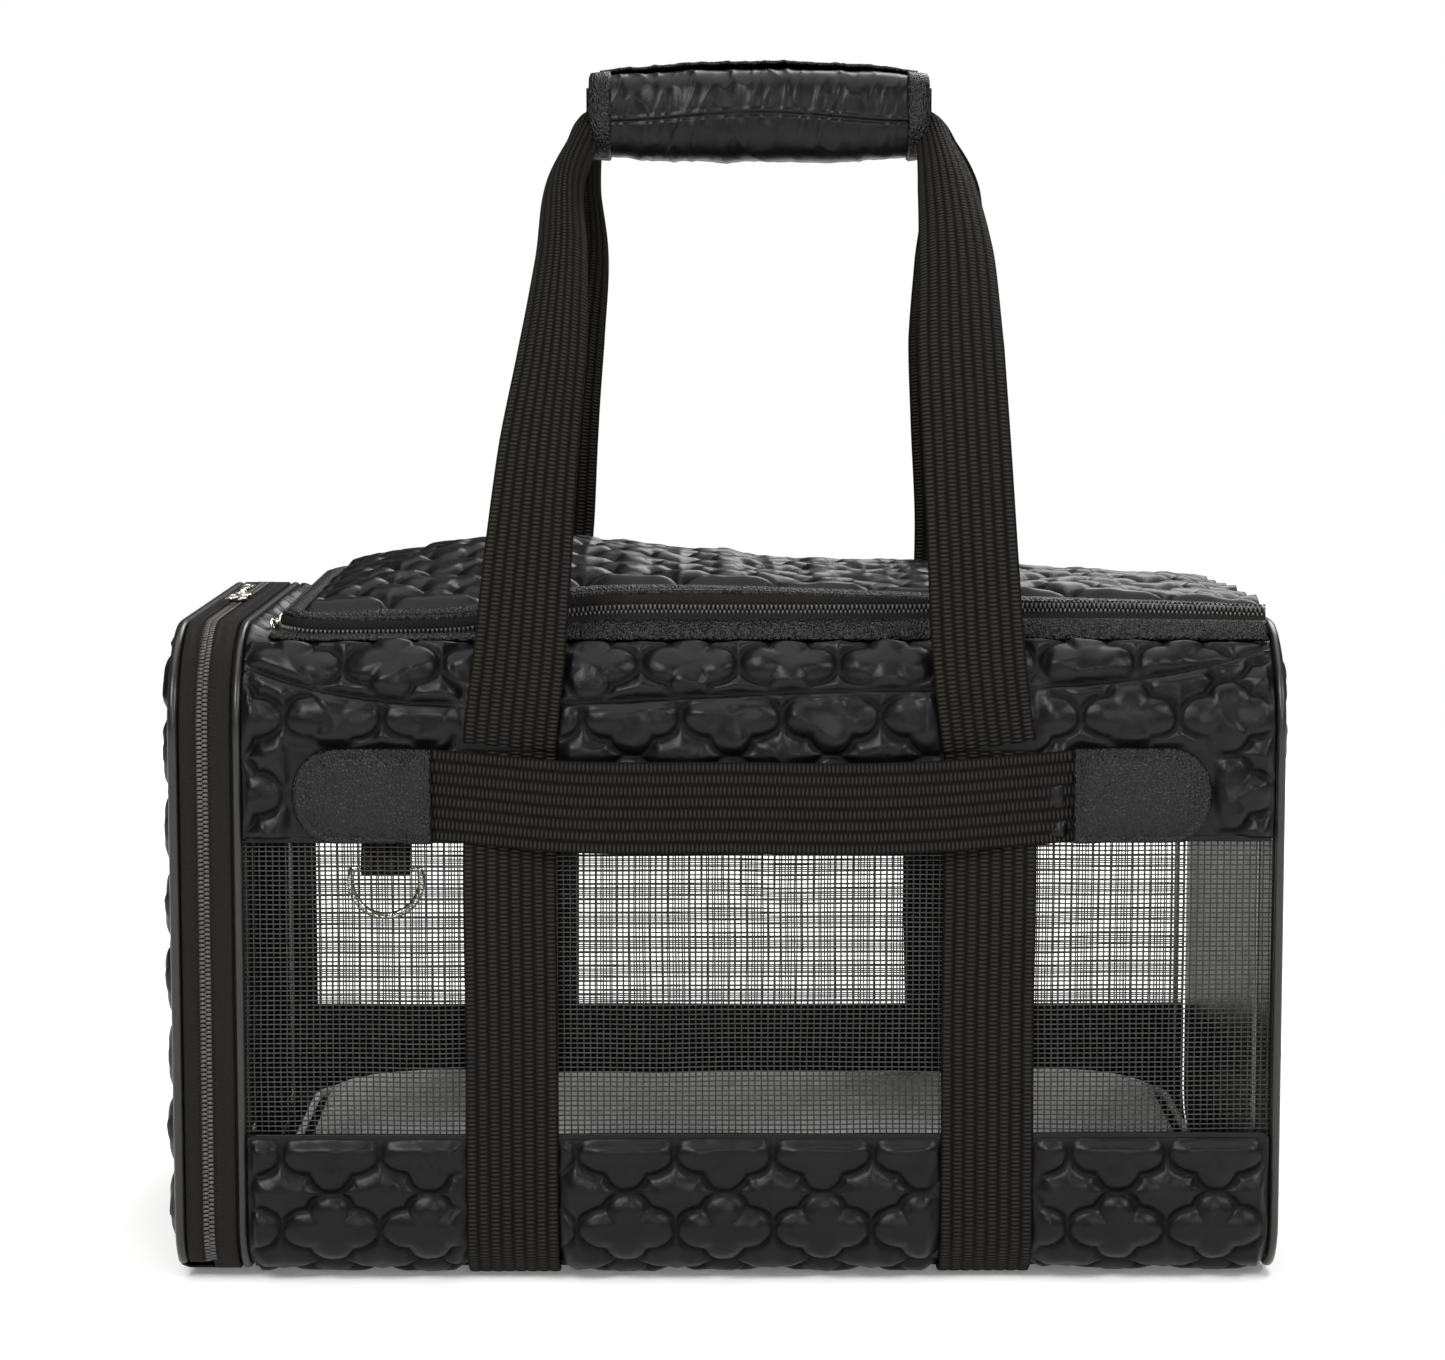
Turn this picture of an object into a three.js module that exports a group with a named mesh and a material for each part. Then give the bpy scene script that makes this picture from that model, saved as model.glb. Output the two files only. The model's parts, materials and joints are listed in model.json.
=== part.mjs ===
// Soft-sided pet carrier: quilted shell with mesh windows, zip-around end door,
// fold-back top flap, webbing straps and a wrapped carry handle.
// Millimetres. +X runs along the carrier to the pocket end, -Y is the front, +Z is up,
// and the origin lies on the floor under the middle of the bounding box.
import * as THREE from 'three';

// ---- driving dimensions -------------------------------------------------------------
const GAP = 0.3;                      // air between neighbouring pieces
const HALF_DEPTH = 136;               // outer face of the front and back walls
const FLOOR_SKIN = 1.8;               // underside of the base, above the straps below it
const TOP = 272;                      // top of the end rings
const BOTTOM_RADIUS = 24;
const TOP_RADIUS = 44;
const CORNER_STEPS = 7;

const WALL = 3;                       // quilted panel
const MESH = 1.2;                     // window mesh
const WINDOW_LOW = 62;
const WINDOW_HIGH = 186;
const BAND_END_ANGLE = 69.4;          // where the upper wall meets the flap's zip, degrees

const DOOR_X = -229;                  // outer face of the door border
const COIL_X = -214.3;                // centre line of the door's zip
const RING_INNER_X = -203;            // inner edge of the zip band
const SHELL_LEFT = -198.2;
const SHELL_RIGHT = 222.2;
const PIPING_RADIUS = 2.2;
const END_PIPING_X = 225;
const HINGE_Z = 8;                    // fold line of the door
const DOOR_HINGE_X = -222;

const FLAP_HALF_WIDTH = 104;
const FLAP_LEFT = -184;
const FLAP_FOLD = -5;
const FLAP_LOW = 273;
const FLAP_HIGH = 277;
const FLAP_CORNER = 14;
const ZIP_THICKNESS = 1.6;
const ZIP_LOW = 264;
const ZIP_SPLIT = 269.8;

const WEBBING = 38;                   // one and a half inch webbing
const WEBBING_THICKNESS = 1.5;
const STRAP_LEFT_X = -89.5;
const STRAP_RIGHT_X = 106;
const STRAP_TOP = 222;
const BELT_Z = 204;                   // middle height of the seat-belt strap
const BELT_LEFT = -121.2;
const BELT_RIGHT = 140;
const BELT_STAND_OFF = 146;           // how far out the belt bows
const PATCH_LENGTH = 56;
const PATCH_THICKNESS = 3.4;

const GRIP_LEFT = -62;
const GRIP_RIGHT = 90;
const GRIP_Z = 485.5;
const GRIP_HALF_HEIGHT = 22;
const GRIP_HALF_DEPTH = 17;
const GRIP_WALL = 7;
const BINDING = 5;

// ---- materials ----------------------------------------------------------------------
const finish = (color, roughness, metalness) =>
  new THREE.MeshStandardMaterial({ color, roughness, metalness });
const quiltedSatin = finish(0x17171b, 0.45, 0);
const blackMesh = finish(0x1d1d1b, 0.6, 0);
const webbingNylon = finish(0x1a1917, 0.85, 0);
const zipTape = finish(0x1b1a19, 0.8, 0);
const pipingVinyl = finish(0x2b2a29, 0.25, 0);
const grainedVinyl = finish(0x1e1e20, 0.5, 0);
const nickel = finish(0xd6d2c4, 0.25, 1);
const springSteel = finish(0x8c8f92, 0.4, 1);
const padFabric = finish(0x7d7f80, 0.9, 0);
const baseBoard = finish(0x2a2a2a, 0.8, 0);

const carrier = new THREE.Group();

function addPart(name, geometry, material) {
  const mesh = new THREE.Mesh(geometry, material);
  mesh.name = name;
  carrier.add(mesh);
  return mesh;
}

// ---- geometry helpers ---------------------------------------------------------------
const AXIS_X = new THREE.Vector3(1, 0, 0);
const AXIS_Y = new THREE.Vector3(0, 1, 0);
const AXIS_Z = new THREE.Vector3(0, 0, 1);
const point = (x, y) => new THREE.Vector2(x, y);
const radians = THREE.MathUtils.degToRad;

function extrude(shape, depth) {
  return new THREE.ExtrudeGeometry(shape, { depth, bevelEnabled: false, curveSegments: 6 });
}

// A shape drawn in (Y, Z), extruded along X.
function extrudeAlongX(shape, from, to) {
  const geometry = extrude(shape, to - from);
  geometry.applyMatrix4(new THREE.Matrix4().makeBasis(AXIS_Y, AXIS_Z, AXIS_X));
  return geometry.translate(from, 0, 0);
}

// A shape drawn in (X, Z), extruded along Y.
function extrudeAlongY(shape, from, to) {
  const geometry = extrude(shape, to - from);
  const back = AXIS_Y.clone().negate();
  geometry.applyMatrix4(new THREE.Matrix4().makeBasis(AXIS_X, AXIS_Z, back));
  return geometry.translate(0, to, 0);
}

// A shape drawn in (X, Y), extruded along Z.
function extrudeAlongZ(shape, from, to) {
  return extrude(shape, to - from).translate(0, 0, from);
}

function boxBetween(low, high) {
  const size = high.map((value, i) => value - low[i]);
  const geometry = new THREE.BoxGeometry(...size);
  return geometry.translate(...high.map((value, i) => (value + low[i]) / 2));
}

function arc(centreX, centreY, radius, fromDegrees, toDegrees, steps = CORNER_STEPS) {
  const points = [];
  for (let i = 0; i <= steps; i += 1) {
    const angle = radians(fromDegrees + ((toDegrees - fromDegrees) * i) / steps);
    points.push(point(centreX + radius * Math.cos(angle), centreY + radius * Math.sin(angle)));
  }
  return points;
}

function mirrored(points) {
  return points.map((p) => point(-p.x, p.y));
}

// A wall between an outer and an inner path that run the same way.
function wallShape(outer, inner) {
  return new THREE.Shape([...outer, ...[...inner].reverse()]);
}

// ---- the carrier's cross-section, in (Y, Z) -------------------------------------------
const bottomCentre = [HALF_DEPTH - BOTTOM_RADIUS, FLOOR_SKIN + BOTTOM_RADIUS];
const topCentre = [HALF_DEPTH - TOP_RADIUS, TOP - TOP_RADIUS];

// The closed outline, moved inwards, anticlockwise from the lower back corner.
function sectionOutline(inset) {
  const bottom = BOTTOM_RADIUS - inset;
  const top = TOP_RADIUS - inset;
  return [
    ...arc(bottomCentre[0], bottomCentre[1], bottom, -90, 0),
    ...arc(topCentre[0], topCentre[1], top, 0, 90),
    ...arc(-topCentre[0], topCentre[1], top, 90, 180),
    ...arc(-bottomCentre[0], bottomCentre[1], bottom, 180, 270),
  ];
}

// Evenly spaced points strictly between two corners of an outline.
function between(from, to, steps) {
  const points = [];
  for (let i = 1; i < steps; i += 1) {
    points.push(from.clone().lerp(to, i / steps));
  }
  return points;
}

// The outline above the door's fold line, from the back foot over the top to the front.
function archOutline(inset, footZ, straightSteps = 1) {
  const bottom = BOTTOM_RADIUS - inset;
  const top = TOP_RADIUS - inset;
  const footAngle = THREE.MathUtils.radToDeg(Math.asin((footZ - bottomCentre[1]) / bottom));
  const foot = arc(bottomCentre[0], bottomCentre[1], bottom, footAngle, 0, 4);
  const shoulder = arc(topCentre[0], topCentre[1], top, 0, 90);
  const back = [...foot, ...between(foot.at(-1), shoulder[0], straightSteps), ...shoulder];
  const front = mirrored(back).reverse();
  return [...back, ...between(back.at(-1), front[0], straightSteps), ...front];
}

function ringShape(outerInset, innerInset) {
  const shape = new THREE.Shape(sectionOutline(outerInset));
  shape.holes.push(new THREE.Path(sectionOutline(innerInset)));
  return shape;
}

// A round tube that follows the closed outline at one X: a torus whose round centre line
// is laid onto the outline, step for step.
function outlineTube(inset, radius, x) {
  const outline = sectionOutline(inset);
  const count = outline.length;
  const torus = new THREE.TorusGeometry(10, radius, 6, count);
  const position = torus.attributes.position;
  for (let i = 0; i < position.count; i += 1) {
    const px = position.getX(i);
    const py = position.getY(i);
    const step = Math.round((Math.atan2(py, px) / (2 * Math.PI)) * count + count) % count;
    const before = outline[(step + count - 1) % count];
    const after = outline[(step + 1) % count];
    const along = point(after.x - before.x, after.y - before.y).normalize();
    const outwards = Math.hypot(px, py) - 10;
    const y = outline[step].x + along.y * outwards;
    const z = outline[step].y - along.x * outwards;
    position.setXYZ(i, x + position.getZ(i), y, z);
  }
  return torus;
}

// ---- shell: base, walls and windows ---------------------------------------------------
function addBase() {
  const edge = bottomCentre[0] - GAP;
  addPart('base_panel', boxBetween([SHELL_LEFT, -edge, FLOOR_SKIN],
    [SHELL_RIGHT, edge, FLOOR_SKIN + WALL]), quiltedSatin);
}

function lowerWall() {
  const [cy, cz] = bottomCentre;
  const outer = [...arc(cy, cz, BOTTOM_RADIUS, -90, 0), point(HALF_DEPTH, WINDOW_LOW)];
  const inner = [...arc(cy, cz, BOTTOM_RADIUS - WALL, -90, 0), point(HALF_DEPTH - WALL, WINDOW_LOW)];
  return wallShape(outer, inner);
}

function upperWall() {
  const [cy, cz] = topCentre;
  const foot = WINDOW_HIGH + GAP;
  const outer = [point(HALF_DEPTH, foot), ...arc(cy, cz, TOP_RADIUS, 0, BAND_END_ANGLE)];
  const inner = [point(HALF_DEPTH - WALL, foot), ...arc(cy, cz, TOP_RADIUS - WALL, 0, BAND_END_ANGLE)];
  return wallShape(outer, inner);
}

function windowSheet() {
  const outer = HALF_DEPTH - 0.9;
  return new THREE.Shape([
    point(outer - MESH, WINDOW_LOW + GAP), point(outer, WINDOW_LOW + GAP),
    point(outer, WINDOW_HIGH), point(outer - MESH, WINDOW_HIGH),
  ]);
}

function addWalls() {
  const pieces = [
    ['lower_band', lowerWall(), quiltedSatin],
    ['mesh_window', windowSheet(), blackMesh],
    ['upper_band', upperWall(), quiltedSatin],
  ];
  for (const [name, shape, material] of pieces) {
    const opposite = new THREE.Shape(mirrored(shape.getPoints()));
    addPart(`${name}_front`, extrudeAlongX(opposite, SHELL_LEFT, SHELL_RIGHT), material);
    addPart(`${name}_back`, extrudeAlongX(shape, SHELL_LEFT, SHELL_RIGHT), material);
  }
}

// The quilted strip on top between the end ring and the flap's short edge.
function addTopStrip() {
  const edge = FLAP_HALF_WIDTH + 1.4;
  addPart('top_strip_left', boxBetween([SHELL_LEFT, -edge, ZIP_LOW - GAP - WALL],
    [FLAP_LEFT - ZIP_THICKNESS - 2 * GAP, edge, ZIP_LOW - GAP]), quiltedSatin);
}

// ---- end rings, piping and the spring wires inside them --------------------------------
function addEndRings() {
  const tape = 2.4;
  addPart('zip_band_carrier_side',
    extrudeAlongX(ringShape(0, tape), COIL_X + GAP, RING_INNER_X), zipTape);
  const pipingX = (RING_INNER_X + SHELL_LEFT) / 2 + 0.1;
  addPart('piping_door_ring', outlineTube(PIPING_RADIUS, PIPING_RADIUS, pipingX), pipingVinyl);
  addPart('piping_pocket_end', outlineTube(PIPING_RADIUS, PIPING_RADIUS, END_PIPING_X), pipingVinyl);
  const wireRadius = 1.5;
  const wireInset = TOP - ZIP_LOW + wireRadius + 1;
  addPart('spring_wire_door_end', outlineTube(wireInset, wireRadius, COIL_X + 6), springSteel);
  addPart('spring_wire_pocket_end', outlineTube(wireInset, wireRadius, SHELL_RIGHT - 5), springSteel);
}

// ---- pocket end -------------------------------------------------------------------------
const POCKET_INNER_X = 225.6;
const POCKET_THICKNESS = 2.5;
const POCKET_HALF_WIDTH = 104;
const POCKET_ZIP_LOW = 199;
const POCKET_ZIP_HIGH = 213;
const SLIDER_HEIGHT = 4.2;
const POCKET_FACE = POCKET_INNER_X + POCKET_THICKNESS + 0.4;
const END_REACH = POCKET_FACE + SLIDER_HEIGHT;   // the farthest point at either end

function addPocketEnd() {
  const panelInset = 2 * PIPING_RADIUS + GAP;
  const panel = new THREE.Shape(sectionOutline(panelInset));
  addPart('pocket_end_panel', extrudeAlongX(panel, SHELL_RIGHT + GAP, POCKET_INNER_X - GAP), quiltedSatin);
  const corner = 30;
  const foot = 30;
  const side = POCKET_HALF_WIDTH - corner;
  const front = new THREE.Shape([
    ...arc(-side, foot + corner, corner, 180, 270), ...arc(side, foot + corner, corner, 270, 360),
    point(POCKET_HALF_WIDTH, POCKET_ZIP_LOW - GAP), point(-POCKET_HALF_WIDTH, POCKET_ZIP_LOW - GAP),
  ]);
  const outer = POCKET_INNER_X + POCKET_THICKNESS;
  addPart('pocket_panel', extrudeAlongX(front, POCKET_INNER_X, outer), quiltedSatin);
  addPart('pocket_zip', boxBetween([POCKET_INNER_X, -POCKET_HALF_WIDTH, POCKET_ZIP_LOW],
    [outer, POCKET_HALF_WIDTH, POCKET_ZIP_HIGH]), zipTape);
}

// ---- inside: board, pad and tether ------------------------------------------------------
function roundedRectangle(low, high, radius) {
  return new THREE.Shape([
    ...arc(high[0] - radius, low[1] + radius, radius, -90, 0),
    ...arc(high[0] - radius, high[1] - radius, radius, 0, 90),
    ...arc(low[0] + radius, high[1] - radius, radius, 90, 180),
    ...arc(low[0] + radius, low[1] + radius, radius, 180, 270),
  ]);
}

const PAD_TOP = 36;

function addFloor() {
  const boardLow = FLOOR_SKIN + WALL + GAP + 3;
  const board = roundedRectangle([-195, -112], [211, 112], 20);
  addPart('base_board', extrudeAlongZ(board, boardLow, boardLow + 3), baseBoard);
  const pad = roundedRectangle([-194, -121], [210, 121], 34);
  addPart('floor_pad', extrudeAlongZ(pad, boardLow + 3 + GAP, PAD_TOP), padFabric);
}

const TETHER_X = -140.5;
const TETHER_Y = -130.6;
const TETHER_RING_Z = 168;
const TETHER_RADIUS = 14.5;
const TETHER_WIRE = 1.5;

// A D-shaped wire ring: a torus whose top is cut down to a straight bar.
function tetherRing() {
  const ring = new THREE.TorusGeometry(TETHER_RADIUS, TETHER_WIRE, 8, 28);
  ring.applyMatrix4(new THREE.Matrix4().makeBasis(AXIS_X, AXIS_Z, AXIS_Y.clone().negate()));
  const position = ring.attributes.position;
  const flatTop = 5;
  for (let i = 0; i < position.count; i += 1) {
    const x = position.getX(i);
    const z = position.getZ(i);
    const reach = Math.hypot(x, z);
    const wire = reach - TETHER_RADIUS;
    const centreZ = (z / reach) * TETHER_RADIUS;
    position.setZ(i, Math.min(centreZ, flatTop) + (z / reach) * wire);
  }
  return ring;
}

// The tab is a folded loop of narrow webbing, sewn to the wall above and open below
// around the ring's straight bar.
function tetherTab() {
  const barZ = TETHER_RING_Z + 5;
  const inner = TETHER_WIRE + 0.5;
  const outer = inner + 1.2;
  const top = WINDOW_HIGH + 14;
  const shape = new THREE.Shape([
    ...arc(TETHER_Y, barZ, outer, 180, 360, 8), point(TETHER_Y + outer, top),
    point(TETHER_Y - outer + 1.5, top), point(TETHER_Y - outer + 1.5, barZ + 6),
    point(TETHER_Y - outer, barZ + 5),
  ]);
  shape.holes.push(new THREE.Path(arc(TETHER_Y, barZ, inner, 0, 330, 11)));
  return extrudeAlongX(shape, TETHER_X - 10, TETHER_X + 10);
}

function addTether() {
  addPart('tether_tab', tetherTab(), webbingNylon);
  const ring = addPart('tether_ring', tetherRing(), nickel);
  ring.position.set(TETHER_X, TETHER_Y, TETHER_RING_Z);
}

// ---- end door ----------------------------------------------------------------------------
const DOOR_WINDOW_HALF = 96;
const DOOR_WINDOW_LOW = 42;
const DOOR_WINDOW_HIGH = 238;
const DOOR_WINDOW_CORNER = 26;

function addDoor() {
  const tape = 2.4;
  const foot = HINGE_Z + GAP;
  const band = wallShape(archOutline(0, foot), archOutline(tape, foot));
  addPart('door_zip_band', extrudeAlongX(band, DOOR_X + 5.2, COIL_X - GAP), zipTape);

  const pipingPath = archOutline(PIPING_RADIUS, foot + 0.5, 8)
    .map((p) => new THREE.Vector3(DOOR_X + 2.6, p.x, p.y));
  const circle = new THREE.Shape(arc(0, 0, PIPING_RADIUS, 0, 300, 5));
  const path = new THREE.CatmullRomCurve3(pipingPath);
  addPart('door_piping', new THREE.ExtrudeGeometry(circle,
    { steps: 72, extrudePath: path, bevelEnabled: false }), pipingVinyl);

  const borderInset = 2 * PIPING_RADIUS + GAP;
  const border = new THREE.Shape(archOutline(borderInset, foot));
  const window = roundedRectangle([-DOOR_WINDOW_HALF, DOOR_WINDOW_LOW],
    [DOOR_WINDOW_HALF, DOOR_WINDOW_HIGH], DOOR_WINDOW_CORNER);
  border.holes.push(new THREE.Path(window.getPoints()));
  addPart('door_border', extrudeAlongX(border, DOOR_X, DOOR_X + WALL), quiltedSatin);
  addPart('door_mesh', doorMesh(), blackMesh);
}

// The door's mesh panel bows outwards like a shallow pillow, with its corners drawn in.
function doorMesh() {
  const halfWidth = DOOR_WINDOW_HALF - GAP;
  const halfHeight = (DOOR_WINDOW_HIGH - DOOR_WINDOW_LOW) / 2 - GAP;
  const sheet = new THREE.BoxGeometry(MESH, 2 * halfWidth, 2 * halfHeight, 1, 10, 10);
  const position = sheet.attributes.position;
  const edgeX = DOOR_X + 0.9;
  const rise = END_REACH + edgeX;
  for (let i = 0; i < position.count; i += 1) {
    const u = position.getY(i) / halfWidth;
    const v = position.getZ(i) / halfHeight;
    const drawnIn = 1 - 0.1 * (u * v) ** 6;
    const crown = (1 - u * u) * (1 - v * v);
    position.setX(i, position.getX(i) + edgeX + MESH / 2 - rise * crown);
    position.setY(i, position.getY(i) * drawnIn);
    position.setZ(i, position.getZ(i) * drawnIn);
  }
  return sheet.translate(0, 0, (DOOR_WINDOW_LOW + DOOR_WINDOW_HIGH) / 2);
}

// The sill is the short run of tape under the door that stays on the carrier.
function addSill() {
  const low = FLOOR_SKIN;
  addPart('door_sill', boxBetween([DOOR_HINGE_X + 0.5, -bottomCentre[0], low],
    [COIL_X - GAP, bottomCentre[0], low + 2.4]), zipTape);
}

// ---- top flap ----------------------------------------------------------------------------
// The flap's outline left of the fold, in (X, Y), grown outwards.
function flapOutline(grow) {
  const radius = FLAP_CORNER + grow;
  const x = FLAP_LEFT + FLAP_CORNER;
  const y = FLAP_HALF_WIDTH - FLAP_CORNER;
  return [...arc(x, y, radius, 90, 180), ...arc(x, -y, radius, 180, 270)];
}

function flapRim(right, lowGrow, highGrow) {
  const outer = flapOutline(highGrow);
  const inner = flapOutline(lowGrow);
  const path = (points, width) => [point(right, width), ...points, point(right, -width)];
  return wallShape(path(outer, FLAP_HALF_WIDTH + highGrow), path(inner, FLAP_HALF_WIDTH + lowGrow));
}

function addFlap() {
  const foldGap = 0.5;
  const left = FLAP_FOLD - foldGap;
  const slab = [point(left, FLAP_HALF_WIDTH), ...flapOutline(0), point(left, -FLAP_HALF_WIDTH)];
  addPart('flap_outer', extrudeAlongZ(new THREE.Shape(slab), FLAP_LOW, FLAP_HIGH), quiltedSatin);
  addPart('flap_inner', boxBetween([FLAP_FOLD + foldGap, -FLAP_HALF_WIDTH, FLAP_LOW],
    [SHELL_RIGHT, FLAP_HALF_WIDTH, FLAP_HIGH]), quiltedSatin);

  const near = GAP;
  const far = GAP + ZIP_THICKNESS;
  addPart('flap_zip_outer', extrudeAlongZ(flapRim(left, near, far), ZIP_SPLIT, FLAP_HIGH), zipTape);
  for (const [side, sign] of [['front', -1], ['back', 1]]) {
    const ys = [sign * (FLAP_HALF_WIDTH + near), sign * (FLAP_HALF_WIDTH + far)].sort((a, b) => a - b);
    addPart(`flap_zip_inner_${side}`, boxBetween([FLAP_FOLD + foldGap, ys[0], ZIP_SPLIT],
      [SHELL_RIGHT, ys[1], FLAP_HIGH]), zipTape);
  }
  addPart('flap_zip_carrier_side',
    extrudeAlongZ(flapRim(SHELL_RIGHT, near, far), ZIP_LOW, ZIP_SPLIT - GAP), zipTape);
}

// ---- webbing straps ------------------------------------------------------------------------
// A strap down one wall and round the bottom corner, in (Y, Z), on the back side.
function wallStrap() {
  const [cy, cz] = bottomCentre;
  const near = BOTTOM_RADIUS + GAP;
  const far = near + WEBBING_THICKNESS;
  const outer = [...arc(cy, cz, far, -90, 0), point(cy + far, STRAP_TOP)];
  const inner = [...arc(cy, cz, near, -90, 0), point(cy + near, STRAP_TOP)];
  return wallShape(outer, inner);
}

function addStraps() {
  const strap = wallStrap();
  const opposite = new THREE.Shape(mirrored(strap.getPoints()));
  const reach = bottomCentre[0] - GAP;
  for (const [side, x] of [['left', STRAP_LEFT_X], ['right', STRAP_RIGHT_X]]) {
    const from = x - WEBBING / 2;
    const to = x + WEBBING / 2;
    addPart(`strap_front_${side}`, extrudeAlongX(opposite, from, to), webbingNylon);
    addPart(`strap_back_${side}`, extrudeAlongX(strap, from, to), webbingNylon);
    addPart(`strap_under_${side}`,
      boxBetween([from, -reach, 0], [to, reach, WEBBING_THICKNESS]), webbingNylon);
  }
}

// The seat-belt strap bows away from the wall so that a belt slides behind it; in (X, Y).
function beltBow(sign) {
  const anchor = HALF_DEPTH + GAP + PATCH_THICKNESS - WEBBING_THICKNESS;
  const middle = (BELT_LEFT + BELT_RIGHT) / 2;
  const half = (BELT_RIGHT - BELT_LEFT) / 2;
  const steps = 12;
  const inner = [];
  for (let i = 0; i <= steps; i += 1) {
    const u = -1 + (2 * i) / steps;
    const rise = (1 - u ** 4) * (BELT_STAND_OFF - WEBBING_THICKNESS - anchor);
    inner.push(point(middle + u * half, sign * (anchor + rise)));
  }
  const outer = inner.map((p) => point(p.x, p.y + sign * WEBBING_THICKNESS));
  return wallShape(outer, inner);
}

function patchShape(side) {
  const height = WEBBING / 2;
  const inward = side === 'left' ? BELT_LEFT - GAP : BELT_RIGHT + GAP;
  const direction = side === 'left' ? -1 : 1;
  const round = 16;
  const end = inward + direction * (PATCH_LENGTH - round);
  const corners = [...arc(0, height - round, round, 90, 0, 5), ...arc(0, -(height - round), round, 0, -90, 5)];
  const outline = corners.map((p) => point(end + direction * p.x, BELT_Z + p.y));
  return new THREE.Shape([point(inward, BELT_Z + height), ...outline, point(inward, BELT_Z - height)]);
}

function addBelts() {
  for (const [name, sign] of [['front', -1], ['back', 1]]) {
    addPart(`belt_strap_${name}`, extrudeAlongZ(beltBow(sign),
      BELT_Z - WEBBING / 2, BELT_Z + WEBBING / 2), webbingNylon);
    for (const side of ['left', 'right']) {
      const near = sign * (HALF_DEPTH + GAP);
      const far = sign * (HALF_DEPTH + GAP + PATCH_THICKNESS);
      addPart(`belt_patch_${name}_${side}`,
        extrudeAlongY(patchShape(side), Math.min(near, far), Math.max(near, far)), grainedVinyl);
    }
  }
}

// ---- carry handle --------------------------------------------------------------------------
// The centre line of a webbing leg: at each height, how far it stands from the carrier's
// middle plane, how far it has leaned from its strap's middle, and how wide it is there.
const LEG_HEIGHTS = [224, 240, 262, 300, 345, 386, 425, 455, 474];
const LEG_DEPTHS = [137.3, 137.5, 137.6, 132, 118, 98, 68, 38, 15];
const LEG_LEANS = {
  left: [0, 1, 4, 9.5, 12.5, 16, 18.5, 18.5, 15.5],
  right: [0, -0.5, -1, -2.5, -5, -7, -9, -8, -3],
};
const LEG_WIDTHS = [38, 38, 38, 38, 38, 37, 32, 25, 19];

function legGeometry(strapX, leans, sign) {
  const points = LEG_HEIGHTS.map((z, i) =>
    new THREE.Vector3(strapX + leans[i], sign * LEG_DEPTHS[i], z));
  const path = new THREE.CatmullRomCurve3(points);
  const steps = 24;
  const leg = new THREE.BoxGeometry(1, 1, 1, 1, 1, steps);
  const position = leg.attributes.position;
  const face = new THREE.Vector3(0, sign, 0);
  for (let i = 0; i < position.count; i += 1) {
    const t = position.getZ(i) + 0.5;
    const centre = path.getPoint(t);
    const along = path.getTangent(t);
    const across = new THREE.Vector3().crossVectors(along, face).normalize();
    const outward = new THREE.Vector3().crossVectors(across, along).normalize();
    const last = LEG_WIDTHS.length - 1;
    const index = Math.min(Math.floor(t * last), last - 1);
    const width = THREE.MathUtils.lerp(LEG_WIDTHS[index], LEG_WIDTHS[index + 1], t * last - index);
    centre.addScaledVector(across, position.getX(i) * width * -sign);
    centre.addScaledVector(outward, position.getY(i) * WEBBING_THICKNESS * sign);
    position.setXYZ(i, centre.x, centre.y, centre.z);
  }
  return leg;
}

function ellipsePoints(grow, fromDegrees, toDegrees, steps) {
  return arc(0, 0, 1, fromDegrees, toDegrees, steps)
    .map((p) => point(p.x * (GRIP_HALF_DEPTH + grow), GRIP_Z + p.y * (GRIP_HALF_HEIGHT + grow)));
}

function gripTube(outerGrow, innerGrow, from, to) {
  const steps = 20;
  const full = 360 - 360 / steps;
  const shape = new THREE.Shape(ellipsePoints(outerGrow, 0, full, steps - 1));
  shape.holes.push(new THREE.Path(ellipsePoints(innerGrow, 0, full, steps - 1)));
  return extrudeAlongX(shape, from, to);
}

function addHandle() {
  for (const [side, strapX] of [['left', STRAP_LEFT_X], ['right', STRAP_RIGHT_X]]) {
    addPart(`handle_leg_front_${side}`, legGeometry(strapX, LEG_LEANS[side], -1), webbingNylon);
    addPart(`handle_leg_back_${side}`, legGeometry(strapX, LEG_LEANS[side], 1), webbingNylon);
  }
  const left = GRIP_LEFT + BINDING;
  const right = GRIP_RIGHT - BINDING;
  addPart('grip_wrap', gripTube(0, -GRIP_WALL, left + GAP, right - GAP), quiltedSatin);
  addPart('grip_binding_left', gripTube(0.8, -GRIP_WALL, GRIP_LEFT, left), grainedVinyl);
  addPart('grip_binding_right', gripTube(0.8, -GRIP_WALL, right, GRIP_RIGHT), grainedVinyl);
  const halfStack = 3.5;
  addPart('grip_webbing', boxBetween([GRIP_LEFT + 1, -halfStack, GRIP_Z - 12],
    [GRIP_RIGHT - 1, halfStack, GRIP_Z + 12]), webbingNylon);
  const flap = wallShape(ellipsePoints(3, 92, 188, 10), ellipsePoints(0.5, 92, 188, 10));
  addPart('grip_flap', extrudeAlongX(flap, left + 2, right - 2), quiltedSatin);
}

// ---- zip sliders and pulls -------------------------------------------------------------------
const SLIDER_LENGTH = 11;
const SLIDER_WIDTH = 8;
const BAR_HEIGHT = 3.1;               // the pull's pivot above the slider's underside

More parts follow.
